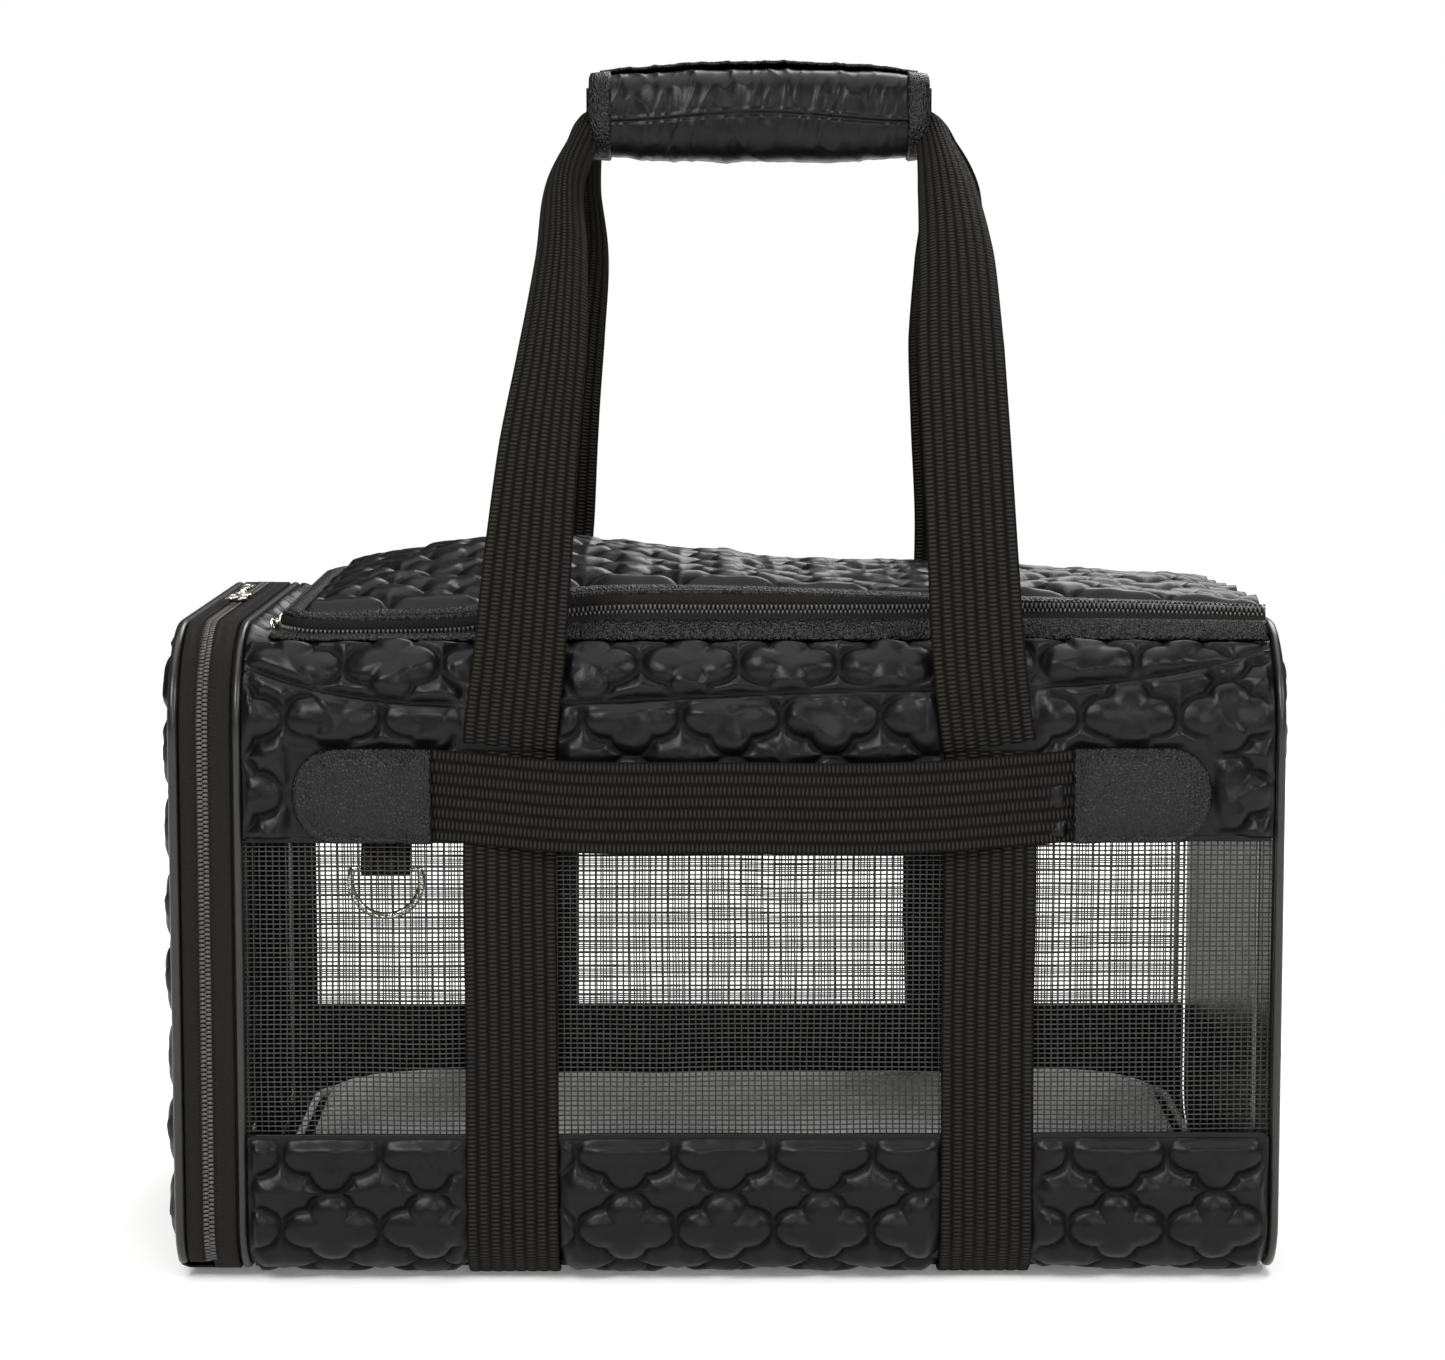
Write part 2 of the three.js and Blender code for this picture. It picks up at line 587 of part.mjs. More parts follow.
// Side view of a slider in (travel, height): a plate with a bridge for the pull.
function sliderGeometry() {
  const half = SLIDER_LENGTH / 2;
  const side = new THREE.Shape([
    point(-half, 0), point(half, 0), point(half, 1.4), point(half - 2, 3.6),
    point(half - 3, SLIDER_HEIGHT), point(3 - half, SLIDER_HEIGHT),
    point(2 - half, 3.6), point(-half, 1.4),
  ]);
  side.holes.push(new THREE.Path([point(-2.4, 1.6), point(2.4, 1.6), point(2, 3), point(-2, 3)]));
  const slider = extrude(side, SLIDER_WIDTH).translate(0, 0, -SLIDER_WIDTH / 2);
  return slider.applyMatrix4(new THREE.Matrix4().makeBasis(AXIS_X, AXIS_Z, AXIS_Y.clone().negate()));
}

// A flat tab that starts beside its pivot and points along +X.
function pullGeometry(length, start) {
  const half = 3;
  const tab = new THREE.Shape([
    point(start, -half * 0.7), ...arc(length - half, 0, half, -90, 90, 6), point(start, half * 0.7),
  ]);
  return extrude(tab, 1.3).translate(0, 0, -0.65);
}

// Sliders travel along Y: local X is laid along Y and local Z along the outward normal.
function addSlider(name, origin, normal, pullDirection, pullLength, pullStart) {
  const travel = AXIS_Y;
  const across = new THREE.Vector3().crossVectors(normal, travel);
  const slider = addPart(`${name}_slider`, sliderGeometry(), nickel);
  slider.applyMatrix4(new THREE.Matrix4().makeBasis(travel, across, normal));
  slider.position.copy(origin);
  const pull = addPart(`${name}_pull`, pullGeometry(pullLength, pullStart), nickel);
  const side = new THREE.Vector3().crossVectors(normal, pullDirection);
  pull.applyMatrix4(new THREE.Matrix4().makeBasis(pullDirection, side, normal));
  pull.position.copy(origin).addScaledVector(normal, BAR_HEIGHT);
}

function addSliders() {
  const above = TOP + 0.5;
  const back = AXIS_Y;
  const forward = AXIS_Y.clone().negate();
  const clear = SLIDER_LENGTH / 2 + 0.5;
  addSlider('door_front', new THREE.Vector3(COIL_X, -9, above), AXIS_Z, forward, 26, clear);
  addSlider('door_rear', new THREE.Vector3(COIL_X, 9, above), AXIS_Z, back, 26, clear);
  const flapFace = FLAP_LEFT - GAP - ZIP_THICKNESS - 0.6;
  addSlider('flap', new THREE.Vector3(flapFace, -82, ZIP_SPLIT), AXIS_X.clone().negate(),
    forward, 17, clear);
  const down = AXIS_Z.clone().negate();
  addSlider('pocket', new THREE.Vector3(POCKET_FACE, -88, 207), AXIS_X, down, 30, 4.6);
}

addBase();
addWalls();
addTopStrip();
addEndRings();
addPocketEnd();
addFloor();
addTether();
addDoor();
addSill();
addFlap();
addStraps();
addBelts();
addHandle();
addSliders();

export default carrier;
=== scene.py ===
"""Looks of a soft-sided pet carrier: quilted satin walls, thread-mesh windows, webbing straps,
zip-around end door, fold-back top flap and a wrapped carry handle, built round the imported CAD.
Geometry is worked out in millimetres in the CAD frame and turned into metres in add_mesh()."""
import json
import math

import bmesh
import bpy
import numpy as np
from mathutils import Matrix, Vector


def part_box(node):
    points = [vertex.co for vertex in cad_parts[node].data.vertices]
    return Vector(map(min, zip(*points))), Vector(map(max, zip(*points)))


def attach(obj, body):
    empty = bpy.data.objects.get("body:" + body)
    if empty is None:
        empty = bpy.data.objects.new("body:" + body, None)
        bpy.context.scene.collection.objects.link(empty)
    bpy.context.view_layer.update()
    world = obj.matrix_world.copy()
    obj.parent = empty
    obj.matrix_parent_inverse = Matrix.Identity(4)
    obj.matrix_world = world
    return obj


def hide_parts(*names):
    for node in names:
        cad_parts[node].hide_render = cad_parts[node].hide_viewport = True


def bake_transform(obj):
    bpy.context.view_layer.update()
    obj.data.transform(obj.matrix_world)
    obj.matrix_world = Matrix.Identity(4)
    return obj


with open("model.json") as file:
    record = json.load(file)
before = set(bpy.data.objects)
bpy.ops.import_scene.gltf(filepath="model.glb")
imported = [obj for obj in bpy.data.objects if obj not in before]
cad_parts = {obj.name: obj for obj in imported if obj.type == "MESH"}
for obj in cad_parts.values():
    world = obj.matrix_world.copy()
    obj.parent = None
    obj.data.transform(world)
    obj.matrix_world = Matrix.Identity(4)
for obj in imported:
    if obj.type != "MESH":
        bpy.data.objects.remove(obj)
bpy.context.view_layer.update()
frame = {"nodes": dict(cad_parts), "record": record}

MM = 0.001
FRONT, BACK = -1, 1


def span(node):
    """Lowest and highest corner of a CAD node, in millimetres."""
    return [np.array(corner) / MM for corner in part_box(node)]


def side_name(sign):
    return "front" if sign == FRONT else "back"


# ---- driving dimensions, read from the CAD wherever a node shows them ----------------------------
lower_low, lower_high = span("lower_band_back")
upper_low = span("upper_band_back")[0]
SHELL_LEFT, HALF_DEPTH, UNDERSIDE = lower_low[0], lower_high[1], lower_low[2]
SHELL_RIGHT = lower_high[0]
WINDOW_LOW, WINDOW_HIGH = lower_high[2], upper_low[2]
RING_TOP = span("zip_band_carrier_side")[1][2]
BOTTOM_RADIUS = 24.0
TOP_RADIUS = 44.0
WALL = 3.0
BOTTOM_RUN = BOTTOM_RADIUS * math.pi / 2
SIDE_RUN = RING_TOP - TOP_RADIUS - (UNDERSIDE + BOTTOM_RADIUS)
TOP_START = BOTTOM_RUN + SIDE_RUN

flap_low, flap_high = span("flap_outer")
FLAP_LEFT, FLAP_HALF, FLAP_TOP = flap_low[0], flap_high[1], flap_high[2]
FLAP_FOLD = (flap_high[0] + span("flap_inner")[0][0]) / 2
FLAP_CORNER = 14.0

strap_boxes = {side: span(f"strap_back_{side}") for side in ("left", "right")}
STRAP_X = {side: (low[0] + high[0]) / 2 for side, (low, high) in strap_boxes.items()}
WEBBING = strap_boxes["left"][1][0] - strap_boxes["left"][0][0]
WEBBING_THICKNESS = 1.5
STRAP_TOP = strap_boxes["left"][1][2]
belt_low, belt_high = span("belt_strap_back")
BELT_Z = (belt_low[2] + belt_high[2]) / 2
patch_left = span("belt_patch_back_left")
patch_right = span("belt_patch_back_right")

# Quilting: how far apart the points of its grids are, and the clover that the stitches draw.
QUILT_STEP = 0.95
CLOVER_PITCH = (40.5, 31.5)
CLOVER_RADIUS, CLOVER_RISE = 9.6, 6.2
LEAF_LENGTH, LEAF_HALF, LEAF_START = 11.2, 8.9, 9.0
PUFF_HEIGHT = 2.9
PUFF_EDGE = 7.5

# Webbing, zips and nets.
RIB_PITCH = 4.75
TICK_PITCH = 1.75
STITCH_LINE_AT = 14.2
TOOTH_PITCH = 1.85
TOOTH_LENGTH = 2.3
THREAD_PITCH = (2.7, 2.0)
THREAD_THICKNESS = 0.66

# Walls: heights of the tuck seam along X, and how far round the shoulder the upper wall reaches.
TUCK_HEIGHTS = [(-200, 256), (-111, 240), (5, 244), (124, 247), (222, 262)]
TUCK_CURVE = np.polyfit(*zip(*TUCK_HEIGHTS), 4)
BAND_ANGLE = math.radians(57)
BAND_TOP = TOP_START + TOP_RADIUS * BAND_ANGLE
BELLY_RISE = 2.6

# Steps of the zips' tapes out from the flap's edge, and of the pocket zip's tapes from its middle.
COIL_OUT = 2.0
POCKET_TAPE_WIDTH, POCKET_TAPE_AT = 6.4, 3.9
POCKET_MIDDLE = 140.0
TOP_STRIP_HALF = 124.0
TAB_BEND = 2.6

# Corner radii of the door's opening, the pocket, the belt patches and the floor pad.
DOOR_WINDOW_RADIUS = 26.0
POCKET_RADIUS = 30.0
PATCH_RADIUS = 17.0
PAD_RADIUS = 32.0

# Top flap: (X, height) knots of its slack rim over the flat CAD flap, and of the coil under the rim.
FRONT_RIM = [(-199, 0.5), (-180, -1), (-162, -2), (-110, -1), (-78, 5), (-50, 8.5), (0, 9), (60, 7),
             (110, 5), (160, 3.5), (232, 1)]
BACK_RIM = [(-199, 0.5), (-150, 4), (-110, 9), (-55, 9), (10, 4), (60, 2), (120, -1), (175, -3), (232, -4)]
RIM_TO_COIL = [(-199, 8.5), (-110, 8.2), (-50, 8.7), (0, 9), (60, 7), (110, 4.5), (160, 3.2), (232, 2.6)]
FLAP_BORDER = 6.5
FLAP_LIP = 6.0
FOLD_REACH = 9.0
FOLD_BLEND = ("carrier", "flap", ((FLAP_FOLD + FOLD_REACH) * MM, 0, FLAP_TOP * MM),
              ((FLAP_FOLD - FOLD_REACH) * MM, 0, FLAP_TOP * MM))

# Handle legs from the belt up to the grip: height, depth and X of each knot, then width and curl.
LEG_HEIGHTS = [224, 240, 262, 300, 345, 386, 425, 455, 474]
LEG_DEPTHS = [137.6, 137.8, 137.8, 132, 118, 98, 68, 38, 15]
LEG_PLACES = {("front", "left"): [-89.2, -87.6, -85, -81.7, -77.6, -72.6, -69.9, -69.7, -63],
              ("front", "right"): [105.6, 103.4, 101, 98.9, 97.1, 95.9, 95.8, 93.6, 90],
              ("back", "left"): [-89.5, -88, -84, -79.7, -75.6, -70, -64, -64, -61.5],
              ("back", "right"): [106, 107, 109, 109, 105.8, 103, 102, 100.5, 93]}
LEG_WIDTHS = {"left": [38, 38, 37.5, 36, 33, 28.5, 22, 17, 14, 13, 13],
              "right": [38, 38, 38, 37, 36.5, 36, 32, 25, 16, 13, 13]}
LEG_CURLS = [0, 0, 0, 1, 3, 5.5, 8, 9.5, 9.5, 8.5, 8.5]
LEG_POINTS = 150

# Grip: how much lower it is drawn than the CAD wrap, and its cross-section's squareness.
GRIP_DROP = 2.5
GRIP_SQUARENESS = 2.6

# The photo's viewpoint in metres and degrees.
CAMERA_PLACE = (-0.0132, -1.628, 0.4159)
CAMERA_LENS, CAMERA_SENSOR = 92.2, 36
CAMERA_PITCH, CAMERA_YAW = 6.3, 0.4

# Area lights: name, place, aim, size in metres, power in watts.
LIGHTS = [("key", (-0.9, -1.6, 1.6), (0, 0, 0.2), 0.9, 38),
          ("fill", (1.4, -1.2, 1.3), (0, 0, 0.2), 0.7, 18),
          ("back", (0.6, 1.5, 1.6), (0, 0, 0.15), 1.2, 24),
          ("low", (0.4, -2.3, 0.9), (0, 0, 0.1), 0.5, 10)]
OVERHEAD_ENERGY, OVERHEAD_SPREAD = 1.7, 60
FLOOR_REACH, FLOOR_BEHIND = 2.4, 1.7


# ---- materials -----------------------------------------------------------------------------------
def new_material(name, colour, roughness, **sockets):
    """A Principled material. Extra values are named like their sockets, with _ for each space."""
    mat = bpy.data.materials.new(name)
    mat.use_nodes = True
    shader = mat.node_tree.nodes["Principled BSDF"]
    shader.inputs["Base Color"].default_value = (*colour, 1)
    shader.inputs["Roughness"].default_value = roughness
    for socket, value in sockets.items():
        shader.inputs[socket.replace("_", " ")].default_value = value
    return mat


class Nodes:
    """Short ways to add and join shader nodes in one material."""

    def __init__(self, mat):
        self.tree = mat.node_tree
        self.shader = self.tree.nodes["Principled BSDF"]

    def add(self, kind, **values):
        node = self.tree.nodes.new(kind)
        for key, value in values.items():
            setattr(node, key, value)
        return node

    def link(self, output, socket):
        self.tree.links.new(output, socket)

    def place(self):
        """Position on the object, in millimetres."""
        texture = self.add("ShaderNodeTexCoord")
        return self.scaled(texture.outputs["Object"], (1000, 1000, 1000))

    def flat(self):
        """Position on the cut cloth, across and along in millimetres, and the painted shade of its stitch
        grooves.
        """
        split = self.add("ShaderNodeSeparateXYZ")
        self.link(self.add("ShaderNodeAttribute", attribute_name="flat").outputs["Vector"], split.inputs[0])
        return split.outputs[0], split.outputs[1], split.outputs[2]

    def ridges(self, value):
        """Evenly spaced rounded ridges, one for every whole number."""
        return self.maths("ABSOLUTE", self.maths("SINE", self.maths("MULTIPLY", value, math.pi)))

    def scaled(self, vector, scale):
        node = self.add("ShaderNodeVectorMath", operation="MULTIPLY")
        self.link(vector, node.inputs[0])
        node.inputs[1].default_value = scale
        return node.outputs[0]

    def maths(self, operation, first, second=None, third=None):
        node = self.add("ShaderNodeMath", operation=operation)
        for socket, value in zip(node.inputs, (first, second, third)):
            if value is None:
                continue
            if isinstance(value, (int, float)):
                socket.default_value = value
            else:
                self.link(value, socket)
        return node.outputs[0]

    def noise(self, vector, scale, detail=3.0, roughness=0.55):
        node = self.add("ShaderNodeTexNoise")
        self.link(vector, node.inputs["Vector"])
        node.inputs["Scale"].default_value = scale
        node.inputs["Detail"].default_value = detail
        node.inputs["Roughness"].default_value = roughness
        return node.outputs["Fac"]

    def cells(self, vector, scale):
        node = self.add("ShaderNodeTexVoronoi", feature="F1")
        self.link(vector, node.inputs["Vector"])
        node.inputs["Scale"].default_value = scale
        return node.outputs["Distance"]

    def ramp(self, factor, stops):
        node = self.add("ShaderNodeValToRGB")
        self.link(factor, node.inputs[0])
        elements = node.color_ramp.elements
        while len(elements) < len(stops):
            elements.new(0.5)
        for element, (position, colour) in zip(elements, stops):
            element.position = position
            element.color = (*colour, 1)
        return node.outputs[0]

    def levels(self, factor, low, high):
        """A number from 0 to 1 stretched between low and high."""
        node = self.add("ShaderNodeMapRange")
        self.link(factor, node.inputs["Value"])
        node.inputs["To Min"].default_value = low
        node.inputs["To Max"].default_value = high
        return node.outputs["Result"]

    def bump(self, height, distance_mm, strength=1.0, under=None):
        node = self.add("ShaderNodeBump")
        node.inputs["Strength"].default_value = strength
        node.inputs["Distance"].default_value = distance_mm * MM
        self.link(height, node.inputs["Height"])
        if under is not None:
            self.link(under, node.inputs["Normal"])
        return node.outputs["Normal"]

    def surface(self, colour=None, roughness=None, normal=None):
        for socket, value in (("Base Color", colour), ("Roughness", roughness), ("Normal", normal)):
            if value is not None:
                self.link(value, self.shader.inputs[socket])


def satin():
    """Quilted polyester satin: fine weave, a soft silvery sheen and small puckers."""
    mat = new_material("quilted_satin", (0.006, 0.006, 0.007), 0.4, Specular_IOR_Level=0.2)
    n = Nodes(mat)
    place = n.place()
    mottle = n.noise(place, 0.05, 4)
    threads = n.noise(n.scaled(place, (1, 1, 6)), 1.6, 1)
    pucker = n.noise(place, 0.2, 3)
    # The third flat value is painted shade in the stitch grooves: it darkens the colour there.
    seam = n.flat()[2]
    mottle_and_groove_shade = n.maths("SUBTRACT", mottle, n.maths("MULTIPLY", seam, 0.75))
    colour = n.ramp(mottle_and_groove_shade, [(0.0, (0.0004, 0.0004, 0.0003)), (0.35, (0.0015, 0.0015, 0.0019)),
                           (0.7, (0.0035, 0.0035, 0.0044))])
    weave = n.bump(threads, 0.05, 0.35)
    rough = n.maths("MULTIPLY_ADD", seam, 0.4, n.levels(n.noise(place, 0.12), 0.28, 0.42))
    n.surface(colour, rough, n.bump(pucker, 0.7, 0.3, weave))
    return mat


def mesh_thread():
    """Vinyl-coated polyester thread of the windows."""
    mat = new_material("window_mesh", (0.012, 0.012, 0.01), 0.5, Specular_IOR_Level=0.35)
    n = Nodes(mat)
    place = n.place()
    colour = n.ramp(n.noise(place, 0.4, 2), [(0.3, (0.015, 0.015, 0.013)), (0.7, (0.034, 0.033, 0.027))])
    n.surface(colour, n.levels(n.noise(place, 0.9), 0.4, 0.62), n.bump(n.noise(place, 2.2), 0.1, 0.5))
    return mat


def webbing():
    """Ribbed nylon webbing: rows of small cross ticks, two stitch lines, fuzzy edges."""
    mat = new_material("webbing", (0.012, 0.011, 0.009), 0.7, Specular_IOR_Level=0.1)
    n = Nodes(mat)
    across, along = n.flat()[:2]
    column = n.maths("DIVIDE", across, RIB_PITCH)
    rib = n.ridges(column)
    shift = n.maths("MULTIPLY", n.maths("FLOOR", column), 0.5)
    beat = n.maths("ADD", n.maths("DIVIDE", along, TICK_PITCH), shift)
    weave = n.maths("MULTIPLY", n.maths("POWER", rib, 0.8), n.ridges(beat))
    fuzz = n.noise(n.place(), 2.5, 3)
    rough = n.maths("MULTIPLY_ADD", fuzz, 0.35, weave)
    from_line = n.maths("SUBTRACT", n.maths("ABSOLUTE", across), STITCH_LINE_AT)
    line = n.maths("LESS_THAN", n.maths("ABSOLUTE", from_line), 0.45)
    shading_with_stitch_grooves = n.maths("SUBTRACT", rough, n.maths("MULTIPLY", line, 0.5))
    # The colour follows the relief: painted highlight on the ticks, painted shade in gaps and sunk stitch
    # lines.
    colour = n.ramp(shading_with_stitch_grooves, [(0.25, (0.0015, 0.0013, 0.001)), (0.65, (0.0065, 0.0058, 0.0047)),
                               (1.1, (0.022, 0.0196, 0.016))])
    n.surface(colour, None, n.bump(shading_with_stitch_grooves, 0.9, 1.0))
    return mat


def zip_tape():
    """Herringbone twill tape."""
    mat = new_material("zip_tape", (0.008, 0.0075, 0.007), 0.7, Specular_IOR_Level=0.15)
    n = Nodes(mat)
    across, along = n.flat()[:2]
    zigzag = n.maths("PINGPONG", across, 2.0)
    slant = n.maths("DIVIDE", n.maths("ADD", along, zigzag), 0.95)
    rough = n.maths("MULTIPLY_ADD", n.noise(n.place(), 2.2, 2), 0.4, n.ridges(slant))
    colour = n.ramp(rough, [(0.2, (0.002, 0.0018, 0.0016)), (1.0, (0.0105, 0.0092, 0.0078))])
    n.surface(colour, None, n.bump(rough, 0.35, 0.8))
    return mat


def piping_vinyl():
    """Glossy dark vinyl over a cord."""
    mat = new_material("piping_vinyl", (0.012, 0.0117, 0.011), 0.3, Coat_Weight=0.15, Coat_Roughness=0.22,
                       Specular_IOR_Level=0.35)
    n = Nodes(mat)
    place = n.place()
    n.surface(None, n.levels(n.noise(place, 0.25), 0.24, 0.42), n.bump(n.noise(place, 0.9), 0.12, 0.4))
    return mat


def grained_vinyl():
    """Leather-like vinyl with pebbled, slightly stretched grain."""
    mat = new_material("grained_vinyl", (0.018, 0.018, 0.02), 0.36, Specular_IOR_Level=0.27)
    n = Nodes(mat)
    place = n.place()
    stretched = n.scaled(place, (1.15, 1.0, 0.72))
    pebbles = n.cells(stretched, 0.95)
    creases = n.noise(stretched, 0.5, 4, 0.6)
    height = n.maths("MULTIPLY_ADD", creases, 0.7, n.maths("POWER", pebbles, 0.7))
    colour = n.ramp(height, [(0.35, (0.005, 0.005, 0.0056)), (0.95, (0.0015, 0.0015, 0.0017))])
    sunken = n.maths("MULTIPLY", height, -1.0)
    n.surface(colour, n.levels(creases, 0.22, 0.4), n.bump(sunken, 1.0, 0.8))
    return mat


def metal(name, colour, roughness):
    mat = new_material(name, colour, roughness, Metallic=1.0)
    n = Nodes(mat)
    place = n.place()
    scratch = n.noise(n.scaled(place, (1, 6, 1)), 0.8, 4)
    dull = n.maths("MULTIPLY_ADD", n.noise(place, 0.3), 0.12, roughness - 0.08)
    n.surface(None, dull, n.bump(scratch, 0.05, 0.3))
    return mat


def brushed_fabric(name, dark, light, sheen=0.3):
    mat = new_material(name, light, 0.85, Sheen_Weight=sheen, Sheen_Roughness=0.5)
    n = Nodes(mat)
    place = n.place()
    nap = n.noise(place, 0.9, 4, 0.65)
    cloud = n.noise(place, 0.04, 3)
    mixed = n.maths("MULTIPLY_ADD", nap, 0.5, n.maths("MULTIPLY", cloud, 0.5))
    n.surface(n.ramp(mixed, [(0.3, dark), (0.7, light)]), None, n.bump(nap, 0.35, 0.5))
    return mat


def board_plastic():
    mat = new_material("base_board", (0.03, 0.03, 0.03), 0.6)
    n = Nodes(mat)
    place = n.place()
    n.surface(None, n.levels(n.noise(place, 0.4), 0.5, 0.7), n.bump(n.noise(place, 1.2), 0.15, 0.5))
    return mat


def teeth_nylon():
    """Dark nylon coil of the zips."""
    mat = new_material("zip_teeth", (0.03, 0.028, 0.025), 0.34, Specular_IOR_Level=0.6)
    n = Nodes(mat)
    mottle = n.noise(n.place(), 0.3, 2)
    n.surface(n.ramp(mottle, [(0.3, (0.03, 0.029, 0.026)), (0.7, (0.065, 0.061, 0.054))]))
    return mat


SATIN = satin()
MESH_THREAD = mesh_thread()
WEBBING_NYLON = webbing()
TAPE = zip_tape()
PIPING = piping_vinyl()
GRAINED = grained_vinyl()
NICKEL = metal("nickel", (0.78, 0.73, 0.64), 0.24)
STEEL = metal("spring_steel", (0.36, 0.37, 0.38), 0.36)
PAD_FABRIC = brushed_fabric("pad_fabric", (0.66, 0.665, 0.66), (0.8, 0.8, 0.79), 0.1)
BOARD = board_plastic()
TEETH = teeth_nylon()
SLOTS = {"quilted_satin": SATIN, "window_mesh": MESH_THREAD, "webbing": WEBBING_NYLON, "zip_tape": TAPE,
         "piping_vinyl": PIPING, "grained_vinyl": GRAINED, "nickel": NICKEL, "spring_steel": STEEL,
         "pad_fabric": PAD_FABRIC, "base_board": BOARD, "zip_teeth": TEETH}


# ---- mesh helpers --------------------------------------------------------------------------------
def add_mesh(name, vertices, faces, material, flat=None):
    """A mesh object from millimetre points. flat gives each point's place on the cut cloth, and how
    much painted shade it gets where it lies in a stitch groove."""
    mesh = bpy.data.meshes.new(name)
    mesh.from_pydata((np.asarray(vertices, float) * MM).tolist(), [], [list(map(int, f)) for f in faces])
    if flat is not None:
        padded = np.zeros((len(vertices), 3), np.float32)
        padded[:, :flat.shape[1]] = flat
        mesh.attributes.new("flat", "FLOAT_VECTOR", "POINT").data.foreach_set("vector", padded.ravel())
    work = bmesh.new()
    work.from_mesh(mesh)
    bmesh.ops.recalc_face_normals(work, faces=work.faces)
    work.to_mesh(mesh)
    work.free()
    mesh.polygons.foreach_set("use_smooth", [True] * len(mesh.polygons))
    mesh.materials.append(material)
    piece = bpy.data.objects.new(name, mesh)
    bpy.context.scene.collection.objects.link(piece)
    return piece


def dress(piece, body, slot, *nodes):
    """Rides a piece on a body given by name, or only bakes its transform when body is anything else,
    and hides the CAD nodes that it stands for. slot is not used.
    """
    if isinstance(body, str):
        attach(piece, body)
    else:
        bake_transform(piece)
    if nodes:
        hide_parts(*nodes)
    return piece


def numbered(grid):
    """The point numbers of a grid of points."""
    return np.arange(grid.shape[0] * grid.shape[1]).reshape(grid.shape[:2])


def points_at(x, y, z):
    """Points from their three coordinates, each a number or an array."""
    return np.stack(np.broadcast_arrays(x, y, z), -1)


def quads(index, wrap_rows=False, wrap_columns=False):
    """Faces of a grid of point numbers."""
    if wrap_rows:
        index = np.concatenate([index, index[:1]])
    if wrap_columns:
        index = np.concatenate([index, index[:, :1]], axis=1)
    corners = [index[:-1, :-1], index[1:, :-1], index[1:, 1:], index[:-1, 1:]]
    return np.stack(corners, -1).reshape(-1, 4)


def capped(name, rings, material):
    """A solid through a stack of rings of points, closed by a face at each end."""
    grid = np.stack(rings)
    index = numbered(grid)
    faces = quads(index, wrap_columns=True).tolist() + [index[0].tolist(), index[-1].tolist()]
    return add_mesh(name, grid.reshape(-1, 3), faces, material)


def ringed(name, grid, material):
    """A tube whose grid of points closes on itself both ways."""
    faces = quads(numbered(grid), wrap_rows=True, wrap_columns=True)
    return add_mesh(name, grid.reshape(-1, 3), faces, material)


def shell(name, outer, inner, material, flat=None, wrap_columns=False):
    """A closed solid between two grids of points of the same shape (rows, columns, 3)."""
    index = numbered(outer)
    count = index.size
    front = quads(index, wrap_columns=wrap_columns)
    faces = [front, front[:, ::-1] + count]
    if wrap_columns:
        edges = [index[0], index[-1]]
    else:
        edges = [np.concatenate([index[0], index[1:, -1], index[-1, -2::-1], index[-2:0:-1, 0]])]
    for edge in edges:
        following = np.roll(edge, -1)
        faces.append(np.stack([edge, following, following + count, edge + count], 1))
    points = np.concatenate([outer.reshape(-1, 3), inner.reshape(-1, 3)])
    both = None if flat is None else np.concatenate([flat.reshape(count, -1)] * 2)
    return add_mesh(name, points, np.concatenate(faces), material, both)


def unit(vectors):
    return vectors / np.maximum(np.linalg.norm(vectors, axis=-1, keepdims=True), 1e-9)


def tangents(path, closed):
    if closed:
        return unit(np.roll(path, -1, 0) - np.roll(path, 1, 0))
    return unit(np.gradient(path, axis=0))


def distances(path):
    steps = np.linalg.norm(np.diff(path, axis=0), axis=1)
    return np.concatenate([[0], np.cumsum(steps)])


def respaced(path, step, closed=False):
    """The same path with evenly spaced points."""
    path = np.asarray(path, float)
    if closed:
        path = np.concatenate([path, path[:1]])
    along = distances(path)
    count = max(int(round(along[-1] / step)), 3)
    at = np.linspace(0, along[-1], count + 1)
    even = np.stack([np.interp(at, along, path[:, i]) for i in range(path.shape[1])], 1)
    return even[:-1] if closed else even


def sweep_grid(path, side, profile, closed):
    """Points of a profile, given as (sideways, outwards), carried along a path.
    side is the sideways direction at every point, or one for all."""
    along = tangents(path, closed)
    side = np.broadcast_to(np.asarray(side, float), path.shape)
    side = unit(side - (side * along).sum(1, keepdims=True) * along)
    outward = np.cross(along, side)
    profile = np.asarray(profile, float)
    if profile.ndim == 2:
        profile = np.broadcast_to(profile, (len(path), *profile.shape))
    return path[:, None] + profile[..., :1] * side[:, None] + profile[..., 1:] * outward[:, None]


def sweep(name, path, side, profile, material, closed=False, flat_across=None):
    """A closed profile swept along a path, with flat ends where the path is open."""
    path = np.asarray(path, float)
    grid = sweep_grid(path, side, profile, closed)
    rows, columns = grid.shape[:2]
    index = numbered(grid)
    faces = [list(f) for f in quads(index, wrap_rows=closed, wrap_columns=True)]
    if not closed:
        faces += [list(index[0]), list(index[-1][::-1])]
    if flat_across is None:
        profile_points = np.asarray(profile, float)
        profile_points = profile_points if profile_points.ndim == 2 else profile_points[0]
        flat_across = profile_points[:, 0]
    flat = np.zeros((rows, columns, 2))
    flat[..., 0] = np.broadcast_to(flat_across, (rows, columns))
    flat[..., 1] = distances(path)[:, None]
    return add_mesh(name, grid.reshape(-1, 3), faces, material, flat.reshape(-1, 2))


def circle(radius, sides=10, stretch=1.0):
    angle = np.arange(sides) * 2 * math.pi / sides
    return np.stack([radius * np.cos(angle), radius * stretch * np.sin(angle)], 1)


